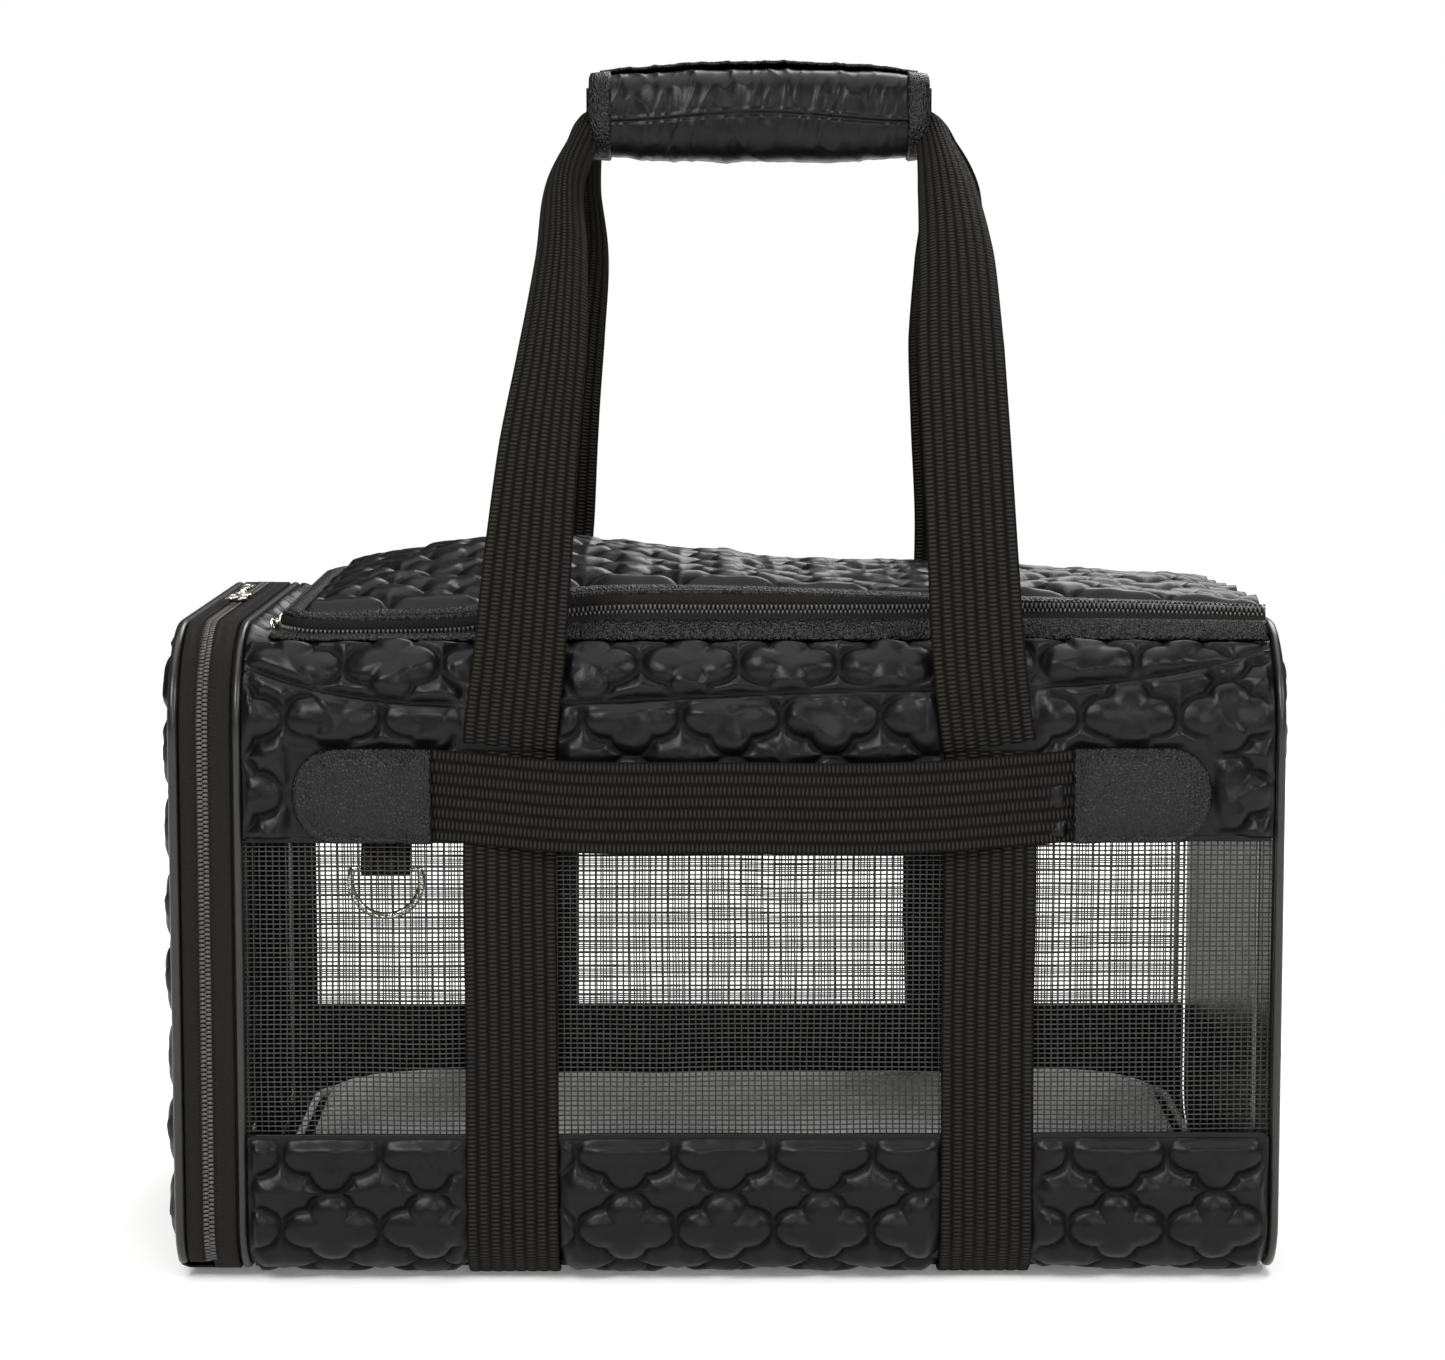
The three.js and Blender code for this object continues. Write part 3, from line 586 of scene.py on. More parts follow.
def band(width, thickness, round_edge=0.4, steps=6):
    """A flat strip's profile with softened edges."""
    half, high = width / 2, thickness / 2
    top = [(-half + round_edge + (width - 2 * round_edge) * i / steps, high) for i in range(steps + 1)]
    return np.array(top + [(half, 0)] + [(x, -high) for x, _ in top[::-1]] + [(-half, 0)])


def stamp(name, origins, across, along, template, material):
    """Copies of a small template, one at each origin. The template's axes are across, along, up."""
    points, faces = template
    up = np.cross(across, along)
    axes = np.stack([across, along, up], 1)
    placed = origins[:, None] + np.einsum("vk,nkj->nvj", points, axes)
    offsets = np.arange(len(origins)) * len(points)
    every = [[corner + offset for corner in face] for offset in offsets for face in faces]
    return add_mesh(name, placed.reshape(-1, 3), every, material)


def bar(length, width, height, bevel=0.25):
    """Template of a small bar with bevelled upper edges, standing on its origin."""
    x, y = length / 2, width / 2
    rings = [(x, y, 0), (x, y, height * (1 - bevel * 1.4)), (x * (1 - bevel), y * (1 - 2 * bevel), height)]
    signs = ((-1, -1), (1, -1), (1, 1), (-1, 1))
    points = [(sx * rx, sy * ry, rz) for rx, ry, rz in rings for sx, sy in signs]
    faces = [[3, 2, 1, 0], [8, 9, 10, 11]]
    for ring in (0, 4):
        faces += [[ring + i, ring + (i + 1) % 4, ring + 4 + (i + 1) % 4, ring + 4 + i] for i in range(4)]
    return np.array(points), faces


def ripple(u, v, size, seed):
    """Smooth noise from -1 to 1 over two coordinates, with features of about the given size."""
    rng = np.random.default_rng(seed)
    table = rng.uniform(-1, 1, (64, 64))
    x, y = np.asarray(u) / size, np.asarray(v) / size
    i, j = np.floor(x).astype(int), np.floor(y).astype(int)
    fx, fy = x - i, y - j
    fx, fy = fx * fx * (3 - 2 * fx), fy * fy * (3 - 2 * fy)

    def corner(di, dj):
        return table[(i + di) % 64, (j + dj) % 64]

    low = corner(0, 0) * (1 - fx) + corner(1, 0) * fx
    high = corner(0, 1) * (1 - fx) + corner(1, 1) * fx
    return low * (1 - fy) + high * fy


def smooth_step(value, low, high):
    """0 below low, 1 above high, an S-curve between."""
    t = np.clip((value - low) / (high - low), 0, 1)
    return t * t * (3 - 2 * t)


# ---- the quilting --------------------------------------------------------------------------------
def stitch_distance(u, v):
    """How far a point on the cloth is from the nearest stitch line of the clover lattice."""
    pitch_u, pitch_v = CLOVER_PITCH
    a = np.abs((u + pitch_u / 2) % pitch_u - pitch_u / 2)
    b = np.abs((v + pitch_v / 2) % pitch_v - pitch_v / 2)
    upright = np.hypot(a, np.maximum(b - CLOVER_RISE, 0)) - CLOVER_RADIUS
    level = LEAF_HALF * (np.hypot(np.maximum(a - LEAF_START, 0) / LEAF_LENGTH, b / LEAF_HALF) - 1)
    outline = np.minimum(upright, level)
    inside = np.minimum(-outline, np.minimum(pitch_u / 2 - a, pitch_v / 2 - b))
    return np.where(outline < 0, inside, outline)


def wandering(u, v, seed):
    """The same place moved a little, so that stitch lines are not quite true."""
    return u + 0.5 * ripple(u, v, 9, seed), v + 0.5 * ripple(u, v, 9, seed + 1)


def creases(u, v, size, seed):
    """Sharp, branching ridges from 0 to 1, like folds in taut satin."""
    return (1 - np.abs(ripple(u + 0.6 * v, v - 0.3 * u, size, seed))) ** 3


def puff(u, v, seed=3, crumple=0.5):
    """Height of the quilting above its stitch lines. crumple is how much the satin creases."""
    away = stitch_distance(*wandering(u, v, seed))
    swell = np.sin(np.clip(away / PUFF_EDGE, 0, 1) * math.pi / 2)
    uneven = 1 + 0.2 * ripple(u, v, 23, seed + 2)
    pucker = 0.5 * ripple(u, v, 2.8, seed + 3) * np.exp(-away / 2.0) * smooth_step(away, 0, 1.2)
    folds = creases(u, v, 19, seed + 4) + 0.3 * creases(u, v, 9, seed + 5) - 0.4
    groove = 1.5 * np.exp(-(away / 0.8) ** 2)
    folded = crumple * folds * smooth_step(away, 0.3, 4)
    return PUFF_HEIGHT * swell * uneven + pucker + folded - groove - 0.4


def shading_with_stitch_grooves(u, v, seed=3):
    """Painted shade in the stitch grooves: 1 in the stitch lines, falling to 0 beside them.
    The satin's colour is darkened there by that much.
    """
    return np.exp(-(stitch_distance(*wandering(u, v, seed)) / 1.1) ** 2)


def edge_fade(value, low, high, width=5.0):
    """1 inside the panel, falling to 0 at both ends."""
    return smooth_step(value, low, low + width) * smooth_step(-value, -high, -high + width)


# ---- the carrier's cross-section ------------------------------------------------------------------
def section(s):
    """Depth, height and outward normal at arc length s up the wall, from under the bottom corner."""
    s = np.asarray(s, float)
    bottom = np.clip(s, 0, BOTTOM_RUN) / BOTTOM_RADIUS - math.pi / 2
    side = np.clip(s - BOTTOM_RUN, 0, SIDE_RUN)
    top = np.maximum(s - TOP_START, 0) / TOP_RADIUS
    in_top = s > TOP_START
    angle = np.where(in_top, top, bottom)
    depth = np.where(in_top, HALF_DEPTH - TOP_RADIUS + TOP_RADIUS * np.cos(top),
                     HALF_DEPTH - BOTTOM_RADIUS + BOTTOM_RADIUS * np.cos(bottom))
    height = np.where(in_top, RING_TOP - TOP_RADIUS + TOP_RADIUS * np.sin(top),
                      UNDERSIDE + BOTTOM_RADIUS + BOTTOM_RADIUS * np.sin(bottom) + side)
    return depth, height, np.cos(angle), np.sin(angle)


def at_height(z):
    """Arc length up the wall at height z."""
    above = np.clip((np.asarray(z, float) - (RING_TOP - TOP_RADIUS)) / TOP_RADIUS, 0, 1)
    return np.where(np.asarray(z) > RING_TOP - TOP_RADIUS, TOP_START + TOP_RADIUS * np.arcsin(above),
                    BOTTOM_RUN + np.asarray(z, float) - UNDERSIDE - BOTTOM_RADIUS)


def closed_section(inset, step=2.5):
    """The whole closed outline in (Y, Z), anticlockwise from the lower back corner."""
    top_end = TOP_START + TOP_RADIUS * math.pi / 2
    depth, height, ny, nz = section(np.linspace(0, top_end, 160))
    half = np.stack([depth - ny * inset, height - nz * inset], 1)
    other = half[::-1] * [-1, 1]
    return respaced(np.concatenate([half, other]), step, closed=True)


def arch_section(inset, foot, step=2.5):
    """The outline above the door's fold line, from the back foot over the top to the front."""
    top_end = TOP_START + TOP_RADIUS * math.pi / 2
    depth, height, ny, nz = section(np.linspace(0, top_end, 400))
    half = np.stack([depth - ny * inset, height - nz * inset], 1)
    half = half[half[:, 1] > foot]
    return respaced(np.concatenate([half, half[::-1] * [-1, 1]]), step)


def in_plane(outline, x):
    """A (Y, Z) outline as points at one X."""
    return points_at(float(x), *outline.T)


def free_of_straps(u, z):
    """0 where a strap or a patch presses the quilting flat, 1 well away from them."""
    free = np.ones_like(u)
    for x in STRAP_X.values():
        near = smooth_step(np.abs(u - x), WEBBING / 2 - 1, WEBBING / 2 + 7)
        free = np.minimum(free, np.maximum(near, smooth_step(z, STRAP_TOP + 22, STRAP_TOP + 40)))
    for low, high in (patch_left, patch_right):
        out_x = np.maximum(low[0] - u, u - high[0])
        out_z = np.maximum(low[2] - z, z - high[2])
        free = np.minimum(free, smooth_step(np.maximum(out_x, out_z), 0, 6))
    return free


# ---- quilted walls -------------------------------------------------------------------------------
def wall_grid(low, high):
    """Grid of (X, arc length) over a wall."""
    columns = int((SHELL_RIGHT - SHELL_LEFT) / QUILT_STEP)
    rows = int((high - low) / QUILT_STEP)
    return np.meshgrid(np.linspace(SHELL_LEFT, SHELL_RIGHT, columns), np.linspace(low, high, rows))


def wall_panel(name, low, high, sign, lift_at):
    """A wall between two arc lengths. lift_at gives its height over the section and the painted
    shade of its stitch grooves.
    """
    u, s = wall_grid(low, high)
    depth, height, ny, nz = section(s)
    lift, seam = lift_at(u, s, height)
    back = np.minimum(lift - WALL, -WALL * 0.8)

    def layer(out):
        return points_at(u, sign * (depth + ny * out), height + nz * out)

    flat = np.stack([u, s, seam], -1)
    return shell(name, layer(lift), layer(back), SATIN, flat)


def belly(s):
    """How far the underside is drawn up between the stiff end rings."""
    return BELLY_RISE * (1 - smooth_step(s, 0, BOTTOM_RUN))


def lower_wall(sign):
    """The quilted wall under a window, from below the bottom corner to the sill."""
    top = at_height(WINDOW_LOW)
    side = side_name(sign)

    def lift(u, s, z):
        loose = free_of_straps(u, z) * edge_fade(s, -8, top, 5) * edge_fade(u, SHELL_LEFT, SHELL_RIGHT, 4)
        sag = 1.6 * np.sin(np.clip(s / top, 0, 1) * math.pi) * (1 + 0.5 * ripple(u, s, 60, 40 + sign))
        place = u + 2, s - 4, 11 + sign
        # The second value is painted shade along the stitch grooves.
        return loose * (puff(*place, crumple=0.5) + sag + 0.7) - belly(s), shading_with_stitch_grooves(*place) * loose

    piece = wall_panel(f"lower_wall_{side}", 0, float(top), sign, lift)
    dress(piece, "carrier", "quilted_satin", f"lower_band_{side}")


def tuck_line(u):
    """Arc length of the seam that runs along the upper wall."""
    return at_height(np.polyval(TUCK_CURVE, u))


def upper_wall(sign):
    """The quilted wall over a window, with a rolled tuck seam across it."""
    low = float(at_height(WINDOW_HIGH))
    side = side_name(sign)

    def lift(u, s, z):
        from_tuck = s - tuck_line(u)
        above = smooth_step(from_tuck, -0.5, 0.5)
        place = u - 1 + 17 * above, s + 4 + 9 * above, 21 + sign
        pattern = puff(*place, crumple=1.0)
        near_seam = smooth_step(np.abs(from_tuck - 0.6), 0.6, 4.5)
        rolled = 1.3 * np.exp(-((from_tuck + 0.9) / 0.8) ** 2)
        crease = -1.7 * np.exp(-((from_tuck - 1.0) / 0.9) ** 2)
        swell = 1.3 * above * smooth_step(from_tuck, 2, 12)
        slack = 1.5 * ripple(u, s, 34, 50 + sign) + 0.8 * ripple(u, s, 13, 52 + sign)
        edges = edge_fade(s, low - 2, BAND_TOP, 4) * edge_fade(u, SHELL_LEFT, SHELL_RIGHT, 4)
        free = free_of_straps(u, z)
        loose = free * edges
        # Painted shade in the stitch grooves and in the tuck seam's crease.
        dark = np.maximum(shading_with_stitch_grooves(*place), np.exp(-((from_tuck - 1.0) / 0.9) ** 2)) * loose
        seam = edges * (0.1 + 0.9 * free) * (rolled + crease)
        return loose * (near_seam * (pattern + slack) + swell + 0.8) + seam, dark

    piece = wall_panel(f"upper_wall_{side}", low, BAND_TOP, sign, lift)
    dress(piece, "carrier", "quilted_satin", f"upper_band_{side}")


def wall_binding(name, sign, height):
    """A smooth folded binding along a window's long edge."""
    x = np.linspace(SHELL_LEFT + 1, SHELL_RIGHT - 1, 90)
    path = points_at(x, sign * (HALF_DEPTH - 0.4), height + 0.35 * ripple(x, x * 0, 37, 60 + sign))
    piece = sweep(name, path, (0, 0, 1), band(2.8, 1.5, 0.5), SATIN)
    dress(piece, "carrier", "quilted_satin")


def base_fabric():
    """The thin quilted cloth under the floor."""
    low, high = span("base_panel")
    u, y = np.meshgrid(np.linspace(low[0], high[0], 300), np.linspace(low[1] - 0.3, high[1] + 0.3, 160))
    free = free_of_straps(u, np.full_like(u, 20.0))
    drop = np.clip(puff(u, y, 31) * 0.5, -0.4, 1.2) * edge_fade(y, low[1], high[1]) * free
    under = points_at(u, y, UNDERSIDE - np.maximum(drop, 0))
    upper = points_at(u, y, high[2])
    dress(shell("base_fabric", under, upper, SATIN), "carrier", "quilted_satin", "base_panel")


# ---- window mesh ---------------------------------------------------------------------------------
def thread_mesh(name, rows_path, columns_path):
    """A net of crossing threads. Each path comes with the direction that its thread is widest in."""
    points, faces, start = [], [], 0
    ring = circle(THREAD_THICKNESS / 2, 5, 0.72)
    for path, side in rows_path + columns_path:
        grid = sweep_grid(path, side, ring, False)
        index = numbered(grid) + start
        faces += quads(index, wrap_columns=True).tolist()
        faces += [index[0].tolist(), index[-1][::-1].tolist()]
        points.append(grid.reshape(-1, 3))
        start += index.size
    return add_mesh(name, np.concatenate(points), faces, MESH_THREAD)


def wall_window(sign):
    """A window net: upright threads behind level ones or before them, all a little slack."""
    side = side_name(sign)
    low, high = span(f"mesh_window_{side}")
    middle = sign * (abs(low[1]) + abs(high[1])) / 2

    def depth(x, z):
        slack = np.sin(np.clip((z - low[2]) / (high[2] - low[2]), 0, 1) * math.pi)
        return middle - sign * slack * (1.2 + 0.9 * ripple(x, z, 70, 70 + sign))

    warp = []
    for x in np.arange(low[0] + 0.8, high[0] - 0.4, THREAD_PITCH[0]):
        z = np.linspace(low[2] - 1.5, high[2] + 2.5, 9)
        wave = x + 0.35 * ripple(np.full_like(z, x), z, 31, 72 + sign)
        warp.append((points_at(wave, depth(wave, z) + 0.22, z), (1, 0, 0)))
    weft = []
    for z in np.arange(low[2] + 0.6, high[2], THREAD_PITCH[1]):
        x = np.linspace(low[0], high[0], 33)
        wave = z + 0.35 * ripple(x, np.full_like(x, z), 31, 74 + sign)
        weft.append((points_at(x, depth(x, wave) - 0.22, wave), (0, 0, 1)))
    piece = thread_mesh(f"window_net_{side}", warp, weft)
    dress(piece, "carrier", "window_mesh", f"mesh_window_{side}")


# ---- end rings: piping, tapes, coils, wires ------------------------------------------------------
def piping(name, outline, x, radius, closed, body, node):
    """A vinyl cord round an end."""
    piece = sweep(name, in_plane(outline, x), (1, 0, 0), circle(radius, 12), PIPING, closed=closed)
    dress(piece, body, "piping_vinyl", node)


def ring_tape(name, outline, x_low, x_high, closed, body, node):
    """The broad zip tape that stands round an end ring or the door."""
    path = in_plane(outline, (x_low + x_high) / 2)
    piece = sweep(name, path, (1, 0, 0), band(x_high - x_low, 2.2, 0.6, 8), TAPE, closed=closed)
    dress(piece, body, "zip_tape", node)


def coil(name, path, across, side, body):
    """One row of zip teeth along a path, with the stitches that hold it to its tape."""
    path = respaced(path, TOOTH_PITCH)
    along = tangents(path, False)
    across = np.broadcast_to(np.asarray(across, float), path.shape)
    across = unit(across - (across * along).sum(1, keepdims=True) * along)
    if side < 0:
        path = path + along * TOOTH_PITCH / 2
    teeth = stamp(name, path + across * side * TOOTH_LENGTH * 0.48, across * side, along * side,
                  bar(TOOTH_LENGTH, 1.1, 1.35, 0.32), TEETH)
    stitches = stamp(name + "_sewing", path + across * side * (TOOTH_LENGTH + 0.75), across * side,
                     along * side, bar(0.8, 0.8, 0.7, 0.3), TAPE)
    for piece in (teeth, stitches):
        dress(piece, body, "zip_tape")


def end_rings():
    """The two stiff ends: tape and liner of the door's ring, piping and spring wires."""
    low, high = span("zip_band_carrier_side")
    outline = closed_section(1.1)
    ring_tape("carrier_zip_tape", outline, low[0], high[0], True, "carrier", "zip_band_carrier_side")
    past_coil, under_wall = span("door_border")[1][0] + 0.5, SHELL_LEFT + 2.0
    path = in_plane(closed_section(3.5), (past_coil + under_wall) / 2)
    profile = band(under_wall - past_coil, 0.8, 0.3)
    liner = sweep("door_ring_liner", path, (1, 0, 0), profile, SATIN, closed=True)
    dress(liner, "carrier", "quilted_satin")
    cords = {"door_ring_piping": "piping_door_ring", "pocket_end_piping": "piping_pocket_end"}
    for name, node in cords.items():
        low, high = span(node)
        radius = (high[0] - low[0]) / 2
        piping(name, closed_section(radius), (low[0] + high[0]) / 2, radius, True, "carrier", node)
    for node in ("spring_wire_door_end", "spring_wire_pocket_end"):
        low, high = span(node)
        radius = (high[0] - low[0]) / 2
        path = in_plane(closed_section(RING_TOP - high[2] + radius, 4), (low[0] + high[0]) / 2)
        piece = sweep(node + "_round", path, (1, 0, 0), circle(radius, 10), STEEL, closed=True)
        dress(piece, "carrier", "spring_steel", node)


# ---- end door ------------------------------------------------------------------------------------
def polar(outline, centre, angles):
    """Where rays from the centre at these angles meet a star-shaped outline."""
    dense = respaced(outline, 0.5, closed=True) - centre
    theta = np.unwrap(np.arctan2(dense[:, 1], dense[:, 0]))
    order = np.argsort(np.mod(theta, 2 * math.pi))
    turn = np.mod(theta, 2 * math.pi)[order]
    reach = np.hypot(*dense.T)[order]
    radius = np.interp(angles, turn, reach, period=2 * math.pi)
    return centre + radius[:, None] * np.stack([np.cos(angles), np.sin(angles)], 1)


def rounded_rectangle(low, high, radius):
    """A rectangle between two corners, its own corners rounded."""
    corners = [(high[0], low[1], -90), (high[0], high[1], 0), (low[0], high[1], 90), (low[0], low[1], 180)]
    points = []
    for x, y, start in corners:
        cx = x - radius if x == high[0] else x + radius
        cy = y - radius if y == high[1] else y + radius
        angle = np.radians(start + np.linspace(0, 90, 9))
        points.append(np.stack([cx + radius * np.cos(angle), cy + radius * np.sin(angle)], 1))
    return np.concatenate(points)


def door():
    """The end door: tape, piping, quilted border and the binding round its opening."""
    low, high = span("door_zip_band")
    foot = low[2]
    ring_tape("door_zip_tape", arch_section(1.1, foot), low[0], high[0], False, "door", "door_zip_band")
    low_p, high_p = span("door_piping")
    radius = (high_p[0] - low_p[0]) / 2
    piping("door_edge_piping", arch_section(radius, foot), (low_p[0] + high_p[0]) / 2, radius, False,
           "door", "door_piping")
    border_low, border_high = span("door_border")
    mesh_low, mesh_high = span("door_mesh")
    face = border_low[0]
    centre = np.array([0, (mesh_low[2] + mesh_high[2]) / 2])
    edge = arch_section(HALF_DEPTH - border_high[1], foot)
    hole = rounded_rectangle(mesh_low[1:] - 0.3, mesh_high[1:] + 0.3, DOOR_WINDOW_RADIUS)
    angles = np.linspace(0, 2 * math.pi, 620, endpoint=False)
    outside, inside = polar(edge, centre, angles), polar(hole, centre, angles)
    share = np.linspace(0, 1, 34)[:, None, None]
    plan = inside * (1 - share) + outside * share
    fade = smooth_step(share[..., 0], 0, 0.12) * smooth_step(1 - share[..., 0], 0, 0.1)
    lift = fade * (puff(plan[..., 0], plan[..., 1], 41) + 0.6)
    y, z = plan[..., 0], plan[..., 1]
    outer, inner = points_at(face + 0.6 - lift, y, z), points_at(border_high[0], y, z)
    border = shell("door_quilt", outer, inner, SATIN, plan, wrap_columns=True)
    dress(border, "door", "quilted_satin", "door_border")
    rim = in_plane(respaced(hole, 3, closed=True), face + 0.2)
    binding = sweep("door_window_binding", rim, (1, 0, 0), band(2.6, 5.0, 0.8), SATIN, closed=True)
    dress(binding, "door", "quilted_satin")
    door_net(mesh_low, mesh_high, centre, face)


def door_net(low, high, centre, face):
    """The door's net bows outwards like a shallow pillow."""
    half = (high[1], (high[2] - low[2]) / 2)
    rise = face + 0.9 - low[0]

    def bowed(y, z):
        p, q = y / half[0], (z - centre[1]) / half[1]
        return face + 1.5 - rise * np.clip(1 - p * p, 0, 1) * np.clip(1 - q * q, 0, 1)

    def reach(value, limit):
        """How far a thread at this place runs before it meets the rounded corner."""
        corner = DOOR_WINDOW_RADIUS
        past = np.clip(abs(value) - (limit - corner), 0, corner)
        return corner - math.sqrt(corner * corner - past * past)

    warp, weft = [], []
    for y in np.arange(-half[0] + 1.5, half[0], THREAD_PITCH[0]):
        top = half[1] - reach(y, half[0])
        z = centre[1] + np.linspace(-top, top, 22)
        warp.append((points_at(bowed(y, z) + 0.2, y, z), (0, 1, 0)))
    for q in np.arange(-half[1] + 1.2, half[1], THREAD_PITCH[1]):
        wide = half[0] - reach(q, half[1])
        y = np.linspace(-wide, wide, 22)
        z = centre[1] + q
        weft.append((points_at(bowed(y, z) - 0.2, y, z), (0, 0, 1)))
    piece = thread_mesh("door_net", warp, weft)
    dress(piece, "door", "window_mesh", "door_mesh")


def door_coils():
    """The two rows of teeth between the door and its ring."""
    centre_x = (span("zip_band_carrier_side")[0][0] + span("door_zip_band")[1][0]) / 2
    path = in_plane(arch_section(-0.1, span("door_zip_band")[0][2] + 1, 1.0), centre_x)
    coil("door_teeth_carrier", path, (1, 0, 0), 1, "carrier")
    coil("door_teeth_door", path, (1, 0, 0), -1, "door")


def door_hinge():
    """The fabric that joins the door to the carrier along its fold."""
    sill_low, sill_high = span("door_sill")
    half = sill_high[1]
    low = np.array([sill_high[0] + 2, sill_low[2] + 1.2])
    turn = np.array([span("door_border")[0][0] + 1.2, sill_low[2] + 2.5])
    top = np.array([span("door_border")[0][0] + 1.6, span("door_border")[0][2] + 6])
    bend = [low, low - (5, 0), turn + (3, -1.2), turn + (0.6, 1.4), turn + (0, 4), top]
    path = respaced(bend, 0.8)
    share = np.linspace(-1, 1, 130)
    to_corner = np.clip(BOTTOM_RADIUS - (path[:, 1] - UNDERSIDE), 0, BOTTOM_RADIUS - 1)
    reach = HALF_DEPTH - 1.5 - BOTTOM_RADIUS + np.sqrt(BOTTOM_RADIUS ** 2 - to_corner ** 2)
    y = share[None, :] * np.maximum(reach, half)[:, None]
    grid = points_at(path[:, :1], y, path[:, 1:])
    normal = unit(np.cross(np.gradient(grid, axis=1), np.gradient(grid, axis=0)))
    wave = 0.25 * ripple(grid[..., 1], grid[..., 2] * 3 + grid[..., 0] * 3, 12, 91)
    outer = grid + normal * (0.9 + wave)[..., None]
    inner = grid - normal * 0.3
    piece = shell("door_hinge_cloth", outer, inner, SATIN, grid[..., 1:])
    start = (turn[0] * MM + 0.006, 0, low[1] * MM)
    end = (turn[0] * MM, 0, (span("door_border")[0][2] + 3) * MM)
    dress(piece, ("carrier", "door", start, end), "quilted_satin", "door_sill")


# ---- top flap ------------------------------------------------------------------------------------
def along_curve(x, knots):
    """Smooth values at x through a few (x, value) knots."""
    dense = curve_through(knots, 240)
    return np.interp(x, *dense.T)


def flap_half_width(x, grow=0.0):
    """Half the flap's width at x, narrowing at its rounded left corners."""
    radius = FLAP_CORNER + grow
    into = np.clip((FLAP_LEFT + FLAP_CORNER) - x, 0, radius)
    return FLAP_HALF - FLAP_CORNER + np.sqrt(np.maximum(radius ** 2 - into ** 2, 0))


def flap_outline(grow, step=2.0):
    """The flap's free edge in (X, Y), from the right front over the left end to the right back."""
    angle = np.radians(np.linspace(90, 180, 12))
    radius = FLAP_CORNER + grow
    corner = np.stack([FLAP_LEFT + FLAP_CORNER + radius * np.cos(angle),
                       FLAP_HALF - FLAP_CORNER + radius * np.sin(angle)], 1)
    back = np.concatenate([[[SHELL_RIGHT - 1, FLAP_HALF + grow]], corner])
    front = back[::-1] * [1, -1]
    return respaced(np.concatenate([back, front])[::-1], step)


def rim_rise(x, y):
    """How far the flap's slack rim stands over its flat height."""
    share = np.clip((y / FLAP_HALF + 1) / 2, 0, 1)
    return (1 - share) * along_curve(x, FRONT_RIM) + share * along_curve(x, BACK_RIM)


def flap_rise(x, y):
    """How far the slack flap stands over its flat height: the rim's rise and a dome towards the left."""
    crown = np.clip(1 - (y / FLAP_HALF) ** 2, 0, 1) ** 0.8
    dome = (2.5 + 9 * np.exp(-((x + 105) / 70) ** 2)) * crown
    ends = smooth_step(x, FLAP_LEFT, FLAP_LEFT + 40) * smooth_step(-x, -SHELL_RIGHT, -SHELL_RIGHT + 30)
    return rim_rise(x, y) + dome * ends


def coil_height(x, y):
    """Height of the teeth under the flap's rim."""
    return FLAP_TOP + rim_rise(x, y) - along_curve(x, RIM_TO_COIL)


def flap():
    """The quilted top flap, both halves in one flat piece across the fold line in its middle."""
    x = np.linspace(FLAP_LEFT, SHELL_RIGHT, 306)
    share = np.linspace(-1, 1, 160)
    u = np.broadcast_to(x, (len(share), len(x)))
    y = share[:, None] * flap_half_width(x)[None, :]
    inward = np.minimum(flap_half_width(x)[None, :] - np.abs(y), u - FLAP_LEFT)
    roll = smooth_step(inward, FLAP_BORDER - 1.5, FLAP_BORDER + 5)
    slack = 1.4 * ripple(u, y, 38, 81) + 0.8 * ripple(u, y, 15, 82)
    lift = roll * (puff(u, y * 1.02, 80, 0.5) * 1.3 + slack + 0.9) + flap_rise(u, y) - 0.8 * (1 - roll)
    outer = points_at(u, y, FLAP_TOP - 1.2 + lift)
    lip = FLAP_LIP * smooth_step(u, SHELL_RIGHT - 7, SHELL_RIGHT - 1)
    under = points_at(u, y, FLAP_TOP - 4.0 + 0.8 * np.minimum(lift, flap_rise(u, y)) - lip)
    # Painted shade along the stitch grooves.
    seam = shading_with_stitch_grooves(u, y * 1.02, 80) * roll
    piece = shell("flap_quilt", outer, under, SATIN, points_at(u, y, seam))
    dress(piece, FOLD_BLEND, "quilted_satin", "flap_outer", "flap_inner")


def on_flap_edge(outline, z_offset):
    """Points over an (X, Y) outline at the flap's height."""
    x, y = outline.T
    return points_at(x, y, FLAP_TOP + z_offset + flap_rise(x, y))


def outward_of(outline):
    """Level direction away from the flap at every point of its outline."""
    along = tangents(outline, False)
    return np.stack([-along[:, 1], along[:, 0]], 1)


def strip_from_edge(name, outline, profile, body, slot, material, nodes=()):
    """A strip round the flap. Its cross-section is a list of (out from the outline, height)."""
    outward = outward_of(outline)
    rows = []
    for out, up in profile:
        plan = outline + outward * np.asarray(out)[..., None]
        rows.append(points_at(*plan.T, up))
    grid = np.stack(rows, 1)
    normal = unit(np.cross(np.gradient(grid, axis=0), np.gradient(grid, axis=1)))
    wide = np.concatenate([[0], np.cumsum(np.linalg.norm(np.diff(grid, axis=1), axis=2).mean(0))])
    flat = np.stack([np.broadcast_to(wide, grid.shape[:2]),
                     np.broadcast_to(distances(outline)[:, None], grid.shape[:2])], -1)
    piece = shell(name, grid + normal * 0.5, grid - normal * 0.5, material, flat)
    return dress(piece, body, slot, *nodes)


